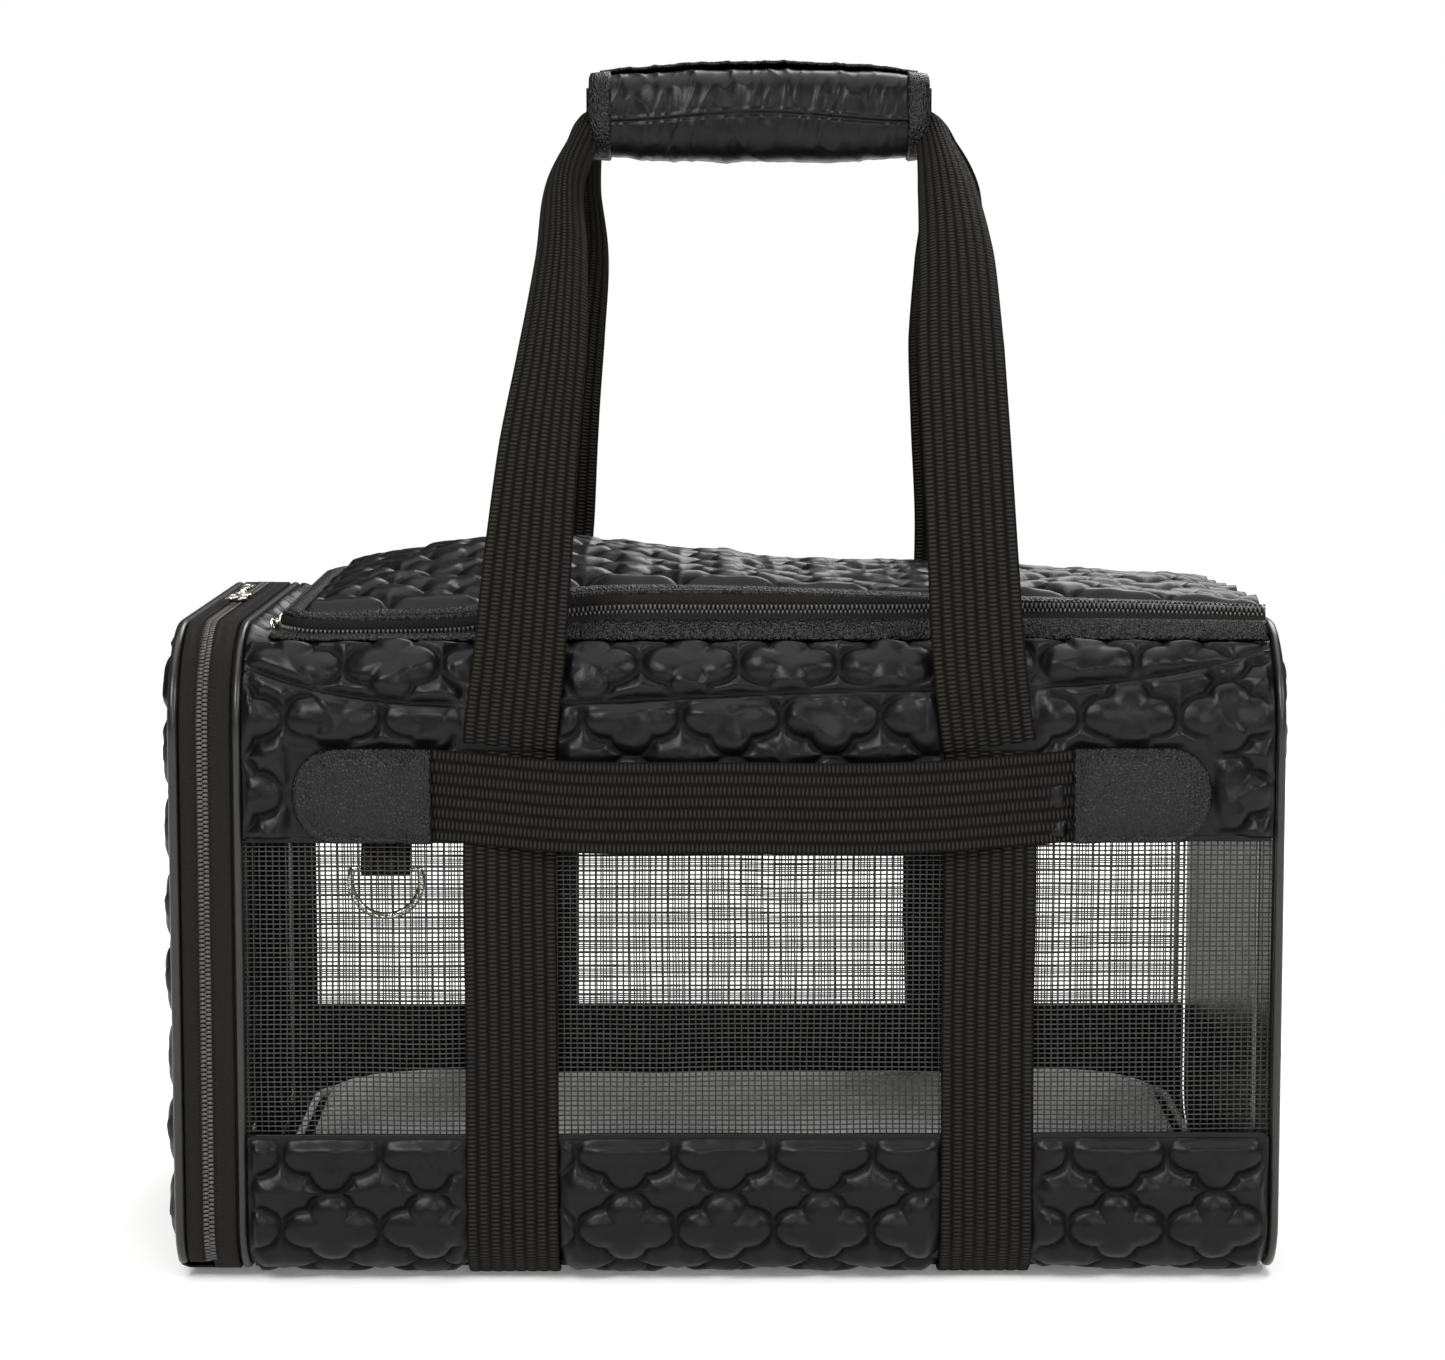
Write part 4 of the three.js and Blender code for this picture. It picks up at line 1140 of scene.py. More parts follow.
def flap_zip():
    """The flap's zip: tapes, vinyl border and frame, edge roll and two rows of teeth."""
    edge = flap_outline(0)
    on_side = smooth_step(np.abs(edge[:, 1]), FLAP_HALF - 20, FLAP_HALF)
    rise = flap_rise(*edge.T)
    height = coil_height(*edge.T)
    wall_out = HALF_DEPTH - TOP_RADIUS * (1 - math.cos(BAND_ANGLE)) - FLAP_HALF + 1.0
    wall_top = RING_TOP - TOP_RADIUS * (1 - math.sin(BAND_ANGLE)) + 0.2
    strip_out, strip_height = 10.8, 265.8
    end_out = strip_out + (wall_out - strip_out) * on_side
    end_height = strip_height + (wall_top - strip_height) * on_side
    top = FLAP_TOP - 1.4 + rise
    flap_side = [(0.4, top), (1.7, top * 0.75 + height * 0.25), (COIL_OUT, top * 0.3 + height * 0.7),
                 (COIL_OUT, height + 0.9)]

    def down_to_wall(share, raised=0.0):
        """A place on the slope between the coil and the wall: 0 at the coil, 1 at the wall."""
        bulge = 1.4 * math.sin(math.pi * share) + raised * (2 * on_side - 1)
        out = COIL_OUT + (end_out - COIL_OUT) * share ** 1.2 + bulge * 0.7
        return out, (height - 0.9) * (1 - share) + end_height * share + bulge * 0.7

    carrier_side = [down_to_wall(share) for share in (0, 0.12, 0.25, 0.4, 0.5, 0.75, 1.0)]
    strip_from_edge("flap_zip_tape", edge, flap_side, FOLD_BLEND, "zip_tape", TAPE,
                    ["flap_zip_outer", "flap_zip_inner_front", "flap_zip_inner_back"])
    strip_from_edge("carrier_flap_tape", edge, carrier_side, "carrier", "zip_tape", TAPE,
                    ["flap_zip_carrier_side"])

    border = []
    border_places = ((-FLAP_BORDER, -1.3), (-FLAP_BORDER + 0.7, -0.5), (-4.0, -0.2), (-2.0, -0.5),
                     (0.2, -1.4))
    for out, up in border_places:
        at = edge + outward_of(edge) * out
        border.append((out, FLAP_TOP + up + flap_rise(*at.T)))
    raised_edges = ((0.4, 0.3), (0.42, 1.2), (0.55, 1.4), (0.7, 1.3), (0.85, 1.3), (0.97, 1.2), (1.0, 0.2))
    frame_vinyl = [down_to_wall(share, raised) for share, raised in raised_edges]
    strip_from_edge("flap_border", edge, border, FOLD_BLEND, "grained_vinyl", GRAINED)
    strip_from_edge("flap_frame", edge, frame_vinyl, "carrier", "grained_vinyl", GRAINED)
    binding = on_flap_edge(flap_outline(0.4, 2.5), -1.9)
    piece = sweep("flap_edge_roll", binding, (0, 0, 1), circle(1.3, 10), GRAINED)
    dress(piece, FOLD_BLEND, "grained_vinyl")
    coil_line = flap_outline(COIL_OUT, 1.0)
    path = points_at(*coil_line.T, coil_height(*coil_line.T))
    coil("flap_teeth_carrier", path, (0, 0, 1), -1, "carrier")
    coil("flap_teeth_flap", path, (0, 0, 1), 1, FOLD_BLEND)


def top_strip():
    """The strip of satin between the door's ring and the flap."""
    high = span("top_strip_left")[1]
    y = np.linspace(-TOP_STRIP_HALF, TOP_STRIP_HALF, 190)
    x = np.linspace(SHELL_LEFT, high[0] + 2.5, 12)
    u, v = np.meshgrid(x, y)
    side = np.clip(np.abs(v) - (HALF_DEPTH - TOP_RADIUS), 0, TOP_RADIUS)
    arch = RING_TOP - TOP_RADIUS + np.sqrt(TOP_RADIUS ** 2 - side ** 2)
    z = np.minimum(arch, RING_TOP - 1.5) - 5.0 * smooth_step(u, SHELL_LEFT, high[0])
    folds = 1.6 * ripple(u * 2, v, 15, 85) + 1.2 * creases(u, v, 9, 86) + 0.5
    lift = edge_fade(u, SHELL_LEFT - 2, high[0] + 3, 4) * folds
    outer, inner = points_at(u, v, z + lift), points_at(u, v, z - WALL)
    piece = shell("top_strip", outer, inner, SATIN, np.stack([u, v], -1))
    dress(piece, "carrier", "quilted_satin", "top_strip_left")


# ---- pocket end ----------------------------------------------------------------------------------
def row_panel(name, outline, step, lift_at, face, back):
    """A panel facing +X whose rows run across a symmetric (Y, Z) outline."""
    half = outline[outline[:, 0] >= 0]
    half = half[np.argsort(half[:, 1])]
    z = np.arange(half[0, 1] + 0.2, half[-1, 1] - 0.1, step)
    width = np.interp(z, half[:, 1], half[:, 0])
    share = np.linspace(-1, 1, int(2 * width.max() / step))
    y = share[None, :] * width[:, None]
    v = np.broadcast_to(z[:, None], y.shape)
    inward = np.minimum(width[:, None] - np.abs(y), np.minimum(v - z[0], z[-1] - v))
    lift = lift_at(y, v, inward)
    return shell(name, points_at(face + lift, y, v), points_at(back, y, v), SATIN, np.stack([y, v], -1))


def pocket_end():
    """The far end: quilted panel, the pocket on it, its zip and its binding."""
    low, high = span("pocket_end_panel")
    outline = closed_section(HALF_DEPTH - high[1], 1.0)
    pocket_low, pocket_high = span("pocket_panel")
    zip_low, zip_high = span("pocket_zip")

    def covered(y, z):
        out = np.maximum(np.abs(y) - pocket_high[1], np.maximum(pocket_low[2] - z, z - zip_high[2]))
        return smooth_step(out, 0, 6)

    def end_lift(y, z, inward):
        swell = 3.0 * smooth_step(z, 212, 250) * smooth_step(inward, 0, 20)
        return smooth_step(inward, 0, 5) * covered(y, z) * (puff(y, z, 61) + 0.5 + swell)

    panel = row_panel("pocket_end_quilt", outline, 1.3, end_lift, high[0] - 0.3, low[0])
    dress(panel, "carrier", "quilted_satin", "pocket_end_panel")
    over_top = (pocket_high[1], pocket_high[2] + POCKET_RADIUS)
    shape = rounded_rectangle((-pocket_high[1], pocket_low[2]), over_top, POCKET_RADIUS)
    shape = respaced(shape, 1.0, closed=True)
    shape = shape[shape[:, 1] <= pocket_high[2]]

    def pocket_lift(y, z, inward):
        bag = 2.0 * smooth_step(inward, 0, 40)
        return smooth_step(inward, 0, 5) * (puff(y, z, 62) * 0.9 + 0.5 + bag) - 0.2

    pocket = row_panel("pocket_quilt", shape, 1.2, pocket_lift, pocket_high[0] - 0.3, pocket_low[0])
    dress(pocket, "carrier", "quilted_satin", "pocket_panel")
    middle = (zip_low[2] + zip_high[2]) / 2
    y = np.linspace(zip_low[1], zip_high[1], 90)
    for name, sign in (("pocket_tape_low", -1), ("pocket_tape_high", 1)):
        path = points_at(zip_low[0] + 1.1, y, middle + sign * POCKET_TAPE_AT)
        nodes = ["pocket_zip"] if sign < 0 else []
        piece = sweep(name, path, (0, 0, 1), band(POCKET_TAPE_WIDTH, 1.8, 0.4, 8), TAPE)
        dress(piece, "carrier", "zip_tape", *nodes)
    centre = points_at(zip_high[0] - 0.9, y[::-1], middle)
    coil("pocket_teeth_low", centre, (0, 0, 1), -1, "carrier")
    coil("pocket_teeth_high", centre, (0, 0, 1), 1, "carrier")
    turn = np.arctan2(shape[:, 0], POCKET_MIDDLE - shape[:, 1])
    ordered = shape[np.argsort(turn)]
    edge = respaced(ordered, 2.5)
    rim = in_plane(edge, pocket_high[0] - 0.2)
    dress(sweep("pocket_binding", rim, (1, 0, 0), circle(1.5, 8), GRAINED), "carrier", "grained_vinyl")


# ---- webbing -------------------------------------------------------------------------------------
def webbing_profile(width=WEBBING, thickness=WEBBING_THICKNESS, rib=0.42):
    """Cross-section of ribbed webbing: (sideways, outwards), ribs on both faces."""
    x = np.linspace(-width / 2 + 0.35, width / 2 - 0.35, 57)
    ribs = rib * (np.abs(np.sin(x / RIB_PITCH * math.pi)) ** 0.6 - 1)
    top = np.stack([x, thickness / 2 + ribs], 1)
    bottom = np.stack([x[::-1], -thickness / 2 - ribs[::-1]], 1)
    return np.concatenate([top, [[width / 2, 0]], bottom, [[-width / 2, 0]]])


def wall_straps():
    """Webbing up each wall. The front ones also run across under the floor."""
    for sign in (FRONT, BACK):
        name = side_name(sign)
        for side, x in STRAP_X.items():
            offset = 0.3 + WEBBING_THICKNESS / 2
            depth, height, ny, nz = section(np.linspace(0, float(at_height(STRAP_TOP)), 150))
            sway = 0.5 * ripple(height, height * 0, 55, 100 + sign + int(x))
            off_belt = smooth_step(np.abs(height - BELT_Z), 20, 34)
            bulge = 0.4 * (1 + ripple(height, height * 0, 40, 110 + sign + int(x))) * off_belt
            out = offset + np.clip(bulge, 0, 1) * edge_fade(height, 30, STRAP_TOP, 30)
            wall = points_at(x + sway, sign * (depth + ny * out), height + nz * out)
            under_y = np.linspace(0, sign * (HALF_DEPTH - BOTTOM_RADIUS), 60)[:-1]
            under = points_at(x, under_y, WEBBING_THICKNESS / 2)
            path = respaced(np.concatenate([under, wall]), 2.0)
            piece = sweep(f"webbing_{name}_{side}", path, (1, 0, 0), webbing_profile(), WEBBING_NYLON)
            nodes = [f"strap_{name}_{side}"] + ([f"strap_under_{side}"] if sign == FRONT else [])
            dress(piece, "carrier", "webbing", *nodes)


def belts():
    """The level strap on each long side: sewn at its ends, free and sagging between."""
    for sign in (FRONT, BACK):
        name = side_name(sign)
        low, high = span(f"belt_strap_{name}")
        near, far = sorted([abs(low[1]), abs(high[1])])
        u = np.linspace(-1, 1, 130)
        x = (low[0] + high[0]) / 2 + u * (high[0] - low[0]) / 2
        x = np.concatenate([[x[0] - 6], x, [x[-1] + 6]])
        from_end = (1 - np.abs(u)) * (high[0] - low[0]) / 2
        sewn, free = HALF_DEPTH + 1.9, near + WEBBING_THICKNESS / 2
        stand = sewn + (free - sewn) * smooth_step(from_end, 0, 11)
        stand = stand + smooth_step(from_end, 10, 60) * (far - near - WEBBING_THICKNESS)
        stand = np.concatenate([[stand[0] - 0.6], stand, [stand[-1] - 0.6]])
        sag = -4.5 * (1 - u ** 2)
        sag = np.concatenate([[0], sag, [0]]) + 0.8 * ripple(x, x * 0, 60, 121 + sign)
        path = respaced(points_at(x, sign * stand, BELT_Z + sag), 2.0)
        piece = sweep(f"belt_{name}", path, (0, 0.06 * sign, 1), webbing_profile(), WEBBING_NYLON)
        dress(piece, "carrier", "webbing", f"belt_strap_{name}")
        for side, mirror in (("left", -1), ("right", 1)):
            belt_patch(name, side, sign, mirror)


def belt_patch(name, side, sign, mirror):
    """A vinyl patch with a rounded tip: crowned, with stitches all round, sewn over the belt's end."""
    node = f"belt_patch_{name}_{side}"
    low, high = span(node)
    inward, tip = (high[0], low[0]) if mirror < 0 else (low[0], high[0])
    inward = inward - mirror * 0.5
    half = (high[2] - low[2]) / 2 + 0.5
    turn = np.radians(np.linspace(0, 90, 10))
    reach = tip - mirror * PATCH_RADIUS + mirror * PATCH_RADIUS * np.cos(turn)
    height = half - PATCH_RADIUS + PATCH_RADIUS * np.sin(turn)
    upper = np.column_stack([reach, BELT_Z + height])[::-1]
    lower = np.column_stack([reach, BELT_Z - height])
    corners = [[inward, BELT_Z + half]], upper, lower, [[inward, BELT_Z - half]]
    outline = respaced(np.concatenate(corners), 1.5, closed=True)
    centre = outline.mean(0)
    base = HALF_DEPTH + 0.2
    levels = [(1.0, 0.0), (1.0, 2.0), (0.985, 2.9), (0.95, 3.3), (0.9, 3.2), (0.87, 2.95), (0.84, 3.3),
              (0.7, 3.9), (0.5, 4.1), (0.3, 4.2), (0.1, 4.2)]
    rings = []
    for scale, lift in levels:
        plan = centre + (outline - centre) * scale
        over_belt = 2.0 * smooth_step(-mirror * (plan[:, 0] - inward), -14, -6) * min(lift, 1)
        crumple = 0.3 * ripple(plan[:, 0], plan[:, 1], 9, 130 + sign + mirror) * (scale < 0.95)
        rings.append(points_at(plan[:, 0], sign * (base + lift + over_belt + crumple), plan[:, 1]))
    piece = capped(f"belt_end_{name}_{side}", rings, GRAINED)
    dress(piece, "carrier", "grained_vinyl", node)
    seam = respaced(centre + (outline - centre) * 0.87, 3.3, closed=True)
    raised = 2.0 * smooth_step(-mirror * (seam[:, 0] - inward), -14, -6)
    origins = points_at(seam[:, 0], sign * (base + 2.75 + raised), seam[:, 1])
    along = tangents(origins, True)
    across = unit(np.cross(along, (0, sign, 0)))
    stitches = stamp(f"belt_stitches_{name}_{side}", origins, -across, along, bar(0.75, 2.4, 0.75),
                     WEBBING_NYLON)
    dress(stitches, "carrier", "webbing")


# ---- carry handle --------------------------------------------------------------------------------
def curve_through(points, count):
    """A smooth path through a few points (Catmull-Rom)."""
    p = np.asarray(points, float)
    p = np.concatenate([[2 * p[0] - p[1]], p, [2 * p[-1] - p[-2]]])
    at = np.linspace(0, len(p) - 3 - 1e-6, count)
    i = at.astype(int)
    t = (at - i)[:, None]
    a, b, c, d = p[i], p[i + 1], p[i + 2], p[i + 3]
    squared = (2 * a - 5 * b + 4 * c - d) * t ** 2
    cubed = (3 * b - a - 3 * c + d) * t ** 3
    return 0.5 * (2 * b + (c - a) * t + squared + cubed)


def handle_legs():
    """Webbing legs that bend between the carrier and the grip, and fold where they gather into it."""
    grip_low, grip_high = span("grip_wrap")
    for side in STRAP_X:
        for sign in (FRONT, BACK):
            name = side_name(sign)
            node = f"handle_leg_{name}_{side}"
            places = zip(LEG_PLACES[name, side], LEG_DEPTHS, LEG_HEIGHTS)
            knots = [(x, sign * depth, z) for x, depth, z in places]
            into = 1 if side == "left" else -1
            mouth = grip_low[0] if side == "left" else grip_high[0]
            knots += [(mouth - into * 2, sign * 7, 482), (mouth + into * 9, sign * 5, 484)]
            path = curve_through(knots, LEG_POINTS)
            share = np.linspace(0, 1, LEG_POINTS)
            stations = np.linspace(0, 1, len(LEG_CURLS))
            curl = np.interp(share, stations, LEG_CURLS) * (1.0 if side == "left" else 0.7)
            widths = np.interp(share, stations, LEG_WIDTHS[side])
            flat = webbing_profile()
            lay = flat[:, 0] / (WEBBING / 2)
            profile = np.empty((LEG_POINTS, len(flat), 2))
            profile[..., 0] = lay[None] * widths[:, None] / 2
            profile[..., 1] = flat[None, :, 1] - curl[:, None] * (lay[None] ** 2 - 0.35) * sign
            piece = sweep(f"leg_{name}_{side}", path, (1, 0, 0), profile, WEBBING_NYLON,
                          flat_across=flat[:, 0])
            start, end = (0, 0, LEG_HEIGHTS[0] * MM + 0.004), (0, 0, (grip_low[2] + 4) * MM)
            dress(piece, ("carrier", "handle", start, end), "webbing", node)


def grip_surface(x, angle, low, high):
    """The grip's outline at a place along it: an oval that swells at the middle."""
    middle = (low + high) / 2
    along = (x - middle[0]) / (high[0] - low[0]) * 2
    swell = 1 - np.clip(np.abs(along), 0, 1) ** 3
    half_depth = (high[1] - low[1]) / 2 - 2.5 + 2.5 * swell
    half_height = (high[2] - low[2]) / 2 - 4.3 + 2.8 * swell
    wrinkle = (0.9 * ripple(x * 1.4, angle * 7, 17, 140)
               + 0.9 * creases(x * 1.5 + 5 * np.sin(angle * 2), angle * 6, 12, 141)
               + 0.5 * creases(x * 1.3, angle * 9 + x * 0.2, 6, 142) - 0.5)
    calm = smooth_step(1 - np.abs(along), 0.02, 0.2)
    power = GRIP_SQUARENESS
    squareness = 1 / (np.abs(np.cos(angle)) ** power + np.abs(np.sin(angle)) ** power) ** (1 / power)
    reach_y = (half_depth + wrinkle * calm) * np.cos(angle) * squareness * 0.97
    reach_z = (half_height + 0.6 * wrinkle * calm) * np.sin(angle) * squareness * 0.97
    return middle[1] + reach_y, middle[2] - GRIP_DROP + reach_z


def grip():
    """The padded wrap of the grip, with the webbing inside it."""
    low, high = span("grip_wrap")
    x = np.linspace(low[0] + 2, high[0] - 2, 220)
    angle = np.linspace(0, 2 * math.pi, 200, endpoint=False)
    u, a = np.meshgrid(x, angle, indexing="ij")
    y, z = grip_surface(u, a, low, high)
    seam = np.radians(183 + 6 * np.cos((u - low[0]) / (high[0] - low[0]) * 2 * math.pi))
    off = (a - seam) * 18
    ridge = 0.5 * np.exp(-((off + 0.9) / 0.8) ** 2) - 0.8 * np.exp(-((off - 0.4) / 0.6) ** 2)
    centre_z = (low[2] + high[2]) / 2 - GRIP_DROP
    radial = unit(np.stack([np.zeros_like(y), y, z - centre_z], -1))
    outer = points_at(u, y, z) + radial * ridge[..., None]
    inner = points_at(u, y * 0.6, centre_z + (z - centre_z) * 0.66)
    rows = np.concatenate([outer, inner[::-1]])
    piece = ringed("grip_satin", rows, SATIN)
    dress(piece, "handle", "quilted_satin", "grip_wrap")
    grip_bindings(low, high)
    grip_flap()
    web_low, web_high = span("grip_webbing")
    x = np.linspace(web_low[0], web_high[0], 60)
    for i, layer in enumerate((-2.4, -0.8, 0.8, 2.4)):
        middle = (web_low[2] + web_high[2]) / 2 - GRIP_DROP
        path = points_at(x, layer, middle)
        profile = webbing_profile(web_high[2] - web_low[2])
        piece = sweep(f"grip_webbing_{i}", path, (0, 0, 1), profile, WEBBING_NYLON)
        dress(piece, "handle", "webbing", *(["grip_webbing"] if i == 0 else []))


def grip_bindings(low, high):
    """Grained vinyl bound over each end of the wrap."""
    angle = np.linspace(0, 2 * math.pi, 72, endpoint=False)
    for side in ("left", "right"):
        node = f"grip_binding_{side}"
        b_low, b_high = span(node)
        direction = 1 if side == "left" else -1
        outer_end = b_low[0] + 2.2 if side == "left" else b_high[0] - 2.2
        inner_end = outer_end + direction * 9.5
        stations = [(outer_end, 0.6), (outer_end, 0.9), (outer_end + direction * 0.8, 1.0),
                    (outer_end + direction * 4, 1.015), (outer_end + direction * 8.7, 1.01),
                    (inner_end, 0.98), (inner_end, 0.9)]
        rings = []
        for x, scale in stations:
            at = np.clip(x, low[0], high[0])
            y, z = grip_surface(np.full_like(angle, at), angle, low, high)
            middle = (low[2] + high[2]) / 2 - GRIP_DROP
            bump = 0.4 * ripple(angle * 12, angle * 0 + x, 3, 150)
            rings.append(points_at(x, (y * 1.08 + bump * 0.3) * scale,
                                   middle + (z - middle + bump * 0.3) * 1.08 * scale))
        dress(ringed(f"grip_end_{side}", np.stack(rings), GRAINED), "handle", "grained_vinyl", node)


def grip_flap():
    """The wrap's overlapping layer behind the grip, with a bound edge that shows over the top."""
    low, high = span("grip_flap")
    wrap_low, wrap_high = span("grip_wrap")
    x = np.linspace(low[0], high[0], 130)
    along = np.clip(np.abs((x - (low[0] + high[0]) / 2) / (high[0] - low[0]) * 2), 0, 1)
    angle = np.radians(np.linspace(90, 182, 40))
    u, a = np.meshgrid(x, angle, indexing="ij")
    y, z = grip_surface(u, math.pi - a, wrap_low, wrap_high)
    centre_z = (wrap_low[2] + wrap_high[2]) / 2 - GRIP_DROP
    radial = unit(np.stack([np.zeros_like(y), y, z - centre_z], -1))
    base = points_at(u, y, z)
    tent = (1.6 * (1 - along ** 2))[:, None] * smooth_step(-a, -math.radians(125), -math.radians(90))
    outer = base + radial * (1.9 + tent)[..., None]
    inner = base + radial * (0.9 + tent)[..., None]
    piece = shell("grip_overlap", outer, inner, SATIN, np.stack([u, a * 20], -1))
    dress(piece, "grip_flap", "quilted_satin", "grip_flap")
    edge = (outer[:, 0] + inner[:, 0]) / 2
    piece = sweep("grip_overlap_binding", edge, (0, 1, 0), circle(1.1, 8, 0.8), GRAINED)
    dress(piece, "grip_flap", "grained_vinyl")


# ---- inside: board, pad, tether ------------------------------------------------------------------
def inflated(piece, cap, frames=20, voxel=5.0, pressure=4.0):
    """Remeshes a closed piece, lets cloth under pressure settle, and applies the result."""
    bpy.context.view_layer.objects.active = piece
    remesh = piece.modifiers.new("remesh", "REMESH")
    remesh.mode = "VOXEL"
    remesh.voxel_size = voxel * MM
    apply_modifiers(piece)
    before = coordinates(piece)
    cloth = piece.modifiers.new("cloth", "CLOTH")
    cloth.settings.use_pressure = True
    cloth.settings.uniform_pressure_force = pressure
    cloth.settings.effector_weights.gravity = 0
    scene = bpy.context.scene
    for number in range(1, frames + 1):
        scene.frame_set(number)
    apply_modifiers(piece)
    scene.frame_set(1)
    moved = coordinates(piece) - before
    length = np.linalg.norm(moved, axis=1, keepdims=True)
    limited = before + moved * np.minimum(1, cap * MM / np.maximum(length, 1e-9))
    piece.data.vertices.foreach_set("co", limited.astype(np.float32).ravel())
    smoothing = piece.modifiers.new("smooth", "SUBSURF")
    smoothing.levels = smoothing.render_levels = 1
    apply_modifiers(piece)
    piece.data.polygons.foreach_set("use_smooth", [True] * len(piece.data.polygons))


def coordinates(piece):
    """Vertex places of a piece, in metres."""
    values = np.zeros(len(piece.data.vertices) * 3, np.float32)
    piece.data.vertices.foreach_get("co", values)
    return values.reshape(-1, 3).astype(float)


def apply_modifiers(piece):
    """Turns what a piece's modifiers show into its mesh."""
    depsgraph = bpy.context.evaluated_depsgraph_get()
    mesh = bpy.data.meshes.new_from_object(piece.evaluated_get(depsgraph))
    old = piece.data
    piece.modifiers.clear()
    piece.data = mesh
    bpy.data.meshes.remove(old)


def slab(name, outline, low, high, rise, material):
    """A slab over an (X, Y) outline, with rounded edges and rings of points towards its middle."""
    centre = outline.mean(0)
    levels = [(0.05, low), (0.5, low), (0.97, low + 0.1), (0.99, low + rise * 0.3), (1.0, (low + high) / 2),
              (0.99, high - rise * 0.3), (0.97, high - 0.1), (0.8, high), (0.5, high), (0.25, high),
              (0.05, high)]
    rings = [points_at(*(centre + (outline - centre) * share).T, z) for share, z in levels]
    return capped(name, rings, material)


def floor_pad():
    """The loose pad on the floor, with a cord round it."""
    low, high = span("floor_pad")
    shrink = 2.5
    outline = rounded_rectangle(low[:2] + shrink, high[:2] - shrink, PAD_RADIUS)
    outline = respaced(outline, 6, closed=True)
    piece = slab("pad_cushion", outline, low[2] + 0.3, high[2] - 0.5, 8, PAD_FABRIC)
    inflated(piece, 4.0)
    points = coordinates(piece)
    points[:, 2] = np.maximum(points[:, 2], low[2] * MM)
    piece.data.vertices.foreach_set("co", points.astype(np.float32).ravel())
    dress(piece, "carrier", "pad_fabric", "floor_pad")
    seam = respaced(rounded_rectangle(low[:2] + 1.6, high[:2] - 1.6, PAD_RADIUS + 1), 4, closed=True)
    path = points_at(*seam.T, (low[2] + high[2]) / 2 + 5)
    piping_piece = sweep("pad_piping", path, (0, 0, 1), circle(1.7, 8), PAD_FABRIC, closed=True)
    dress(piping_piece, "carrier", "pad_fabric")


def tether():
    """The lead ring on its webbing tab."""
    low, high = span("tether_ring")
    centre_x, y = (low[0] + high[0]) / 2, (low[1] + high[1]) / 2
    wire = (high[1] - low[1]) / 2
    radius = (high[0] - low[0]) / 2 - wire
    centre_z = low[2] + wire + radius
    flat_z = high[2] - wire
    drop = math.asin(min((flat_z - centre_z) / radius, 1))
    turn = np.linspace(math.pi - drop, 2 * math.pi + drop, 60)
    curve = points_at(centre_x + radius * np.cos(turn), y, centre_z + radius * np.sin(turn))
    path = respaced(curve, 1.2, closed=True)
    piece = sweep("lead_ring", path, (0, 1, 0), circle(wire, 12), NICKEL, closed=True)
    dress(piece, "tether_ring", "nickel", "tether_ring")
    t_low, t_high = span("tether_tab")
    bar_y = (t_low[1] + t_high[1]) / 2
    half_turn = np.linspace(0, math.pi, 9)
    bend = [(bar_y + TAB_BEND, t_high[2]), (bar_y + TAB_BEND, flat_z + 2)]
    bend += [(bar_y + TAB_BEND * math.cos(a), flat_z - TAB_BEND * math.sin(a)) for a in half_turn]
    bend += [(bar_y - TAB_BEND, flat_z + 3), (bar_y - 0.4, flat_z + 9), (bar_y - 0.4, t_high[2])]
    loop = respaced(bend, 0.9)
    path = in_plane(loop, (t_low[0] + t_high[0]) / 2)
    piece = sweep("lead_tab", path, (1, 0, 0), webbing_profile(t_high[0] - t_low[0], 1.2), WEBBING_NYLON)
    dress(piece, "carrier", "webbing", "tether_tab")


# ---- sliders -------------------------------------------------------------------------------------
def frame_axes(normal, travel=(0, 1, 0)):
    """Travel, sideways and outward directions of a slider."""
    normal, travel = np.array(normal, float), np.array(travel, float)
    return np.stack([travel, np.cross(normal, travel), normal])


def slider(name, node, normal, body, mirror=1):
    """A cast slider: flanged plate, waisted crown, and the bridge that holds the pull."""
    low, high = span(node)
    axes = frame_axes(normal)
    normal_v = np.array(normal, float)
    middle = (low + high) / 2
    height = abs(np.dot(high - low, normal_v))
    foot = middle - normal_v * height / 2
    length = abs(np.dot(high - low, axes[0]))
    width = abs(np.dot(high - low, axes[1]))
    t = np.linspace(0, 2 * math.pi, 48, endpoint=False)
    waist = 1 - 0.28 * np.abs(np.cos(t)) ** 1.5 * (np.cos(t) * mirror < 0)
    plate = np.stack([length / 2 * np.sign(np.cos(t)) * np.abs(np.cos(t)) ** 0.6,
                      width / 2 * waist * np.sign(np.sin(t)) * np.abs(np.sin(t)) ** 0.7], 1)
    levels = [(0.9, 0.0), (1.0, 0.25), (1.0, 1.1), (0.93, 1.5), (0.7, 1.7), (0.2, 1.75)]
    rings = [foot + points_at(*(plate * share).T, z) @ axes for share, z in levels]
    dress(capped(name, rings, NICKEL), body, "nickel", node)
    arch = np.linspace(0, math.pi, 16)
    bridge = points_at(length * 0.33 * np.cos(arch), 0.0, 1.4 + (height - 2.0) * np.sin(arch) ** 0.6)
    bridge_piece = sweep(name + "_bridge", foot + bridge @ axes, axes[1], band(2.6, 0.9, 0.25, 3), NICKEL)
    dress(bridge_piece, body, "nickel")


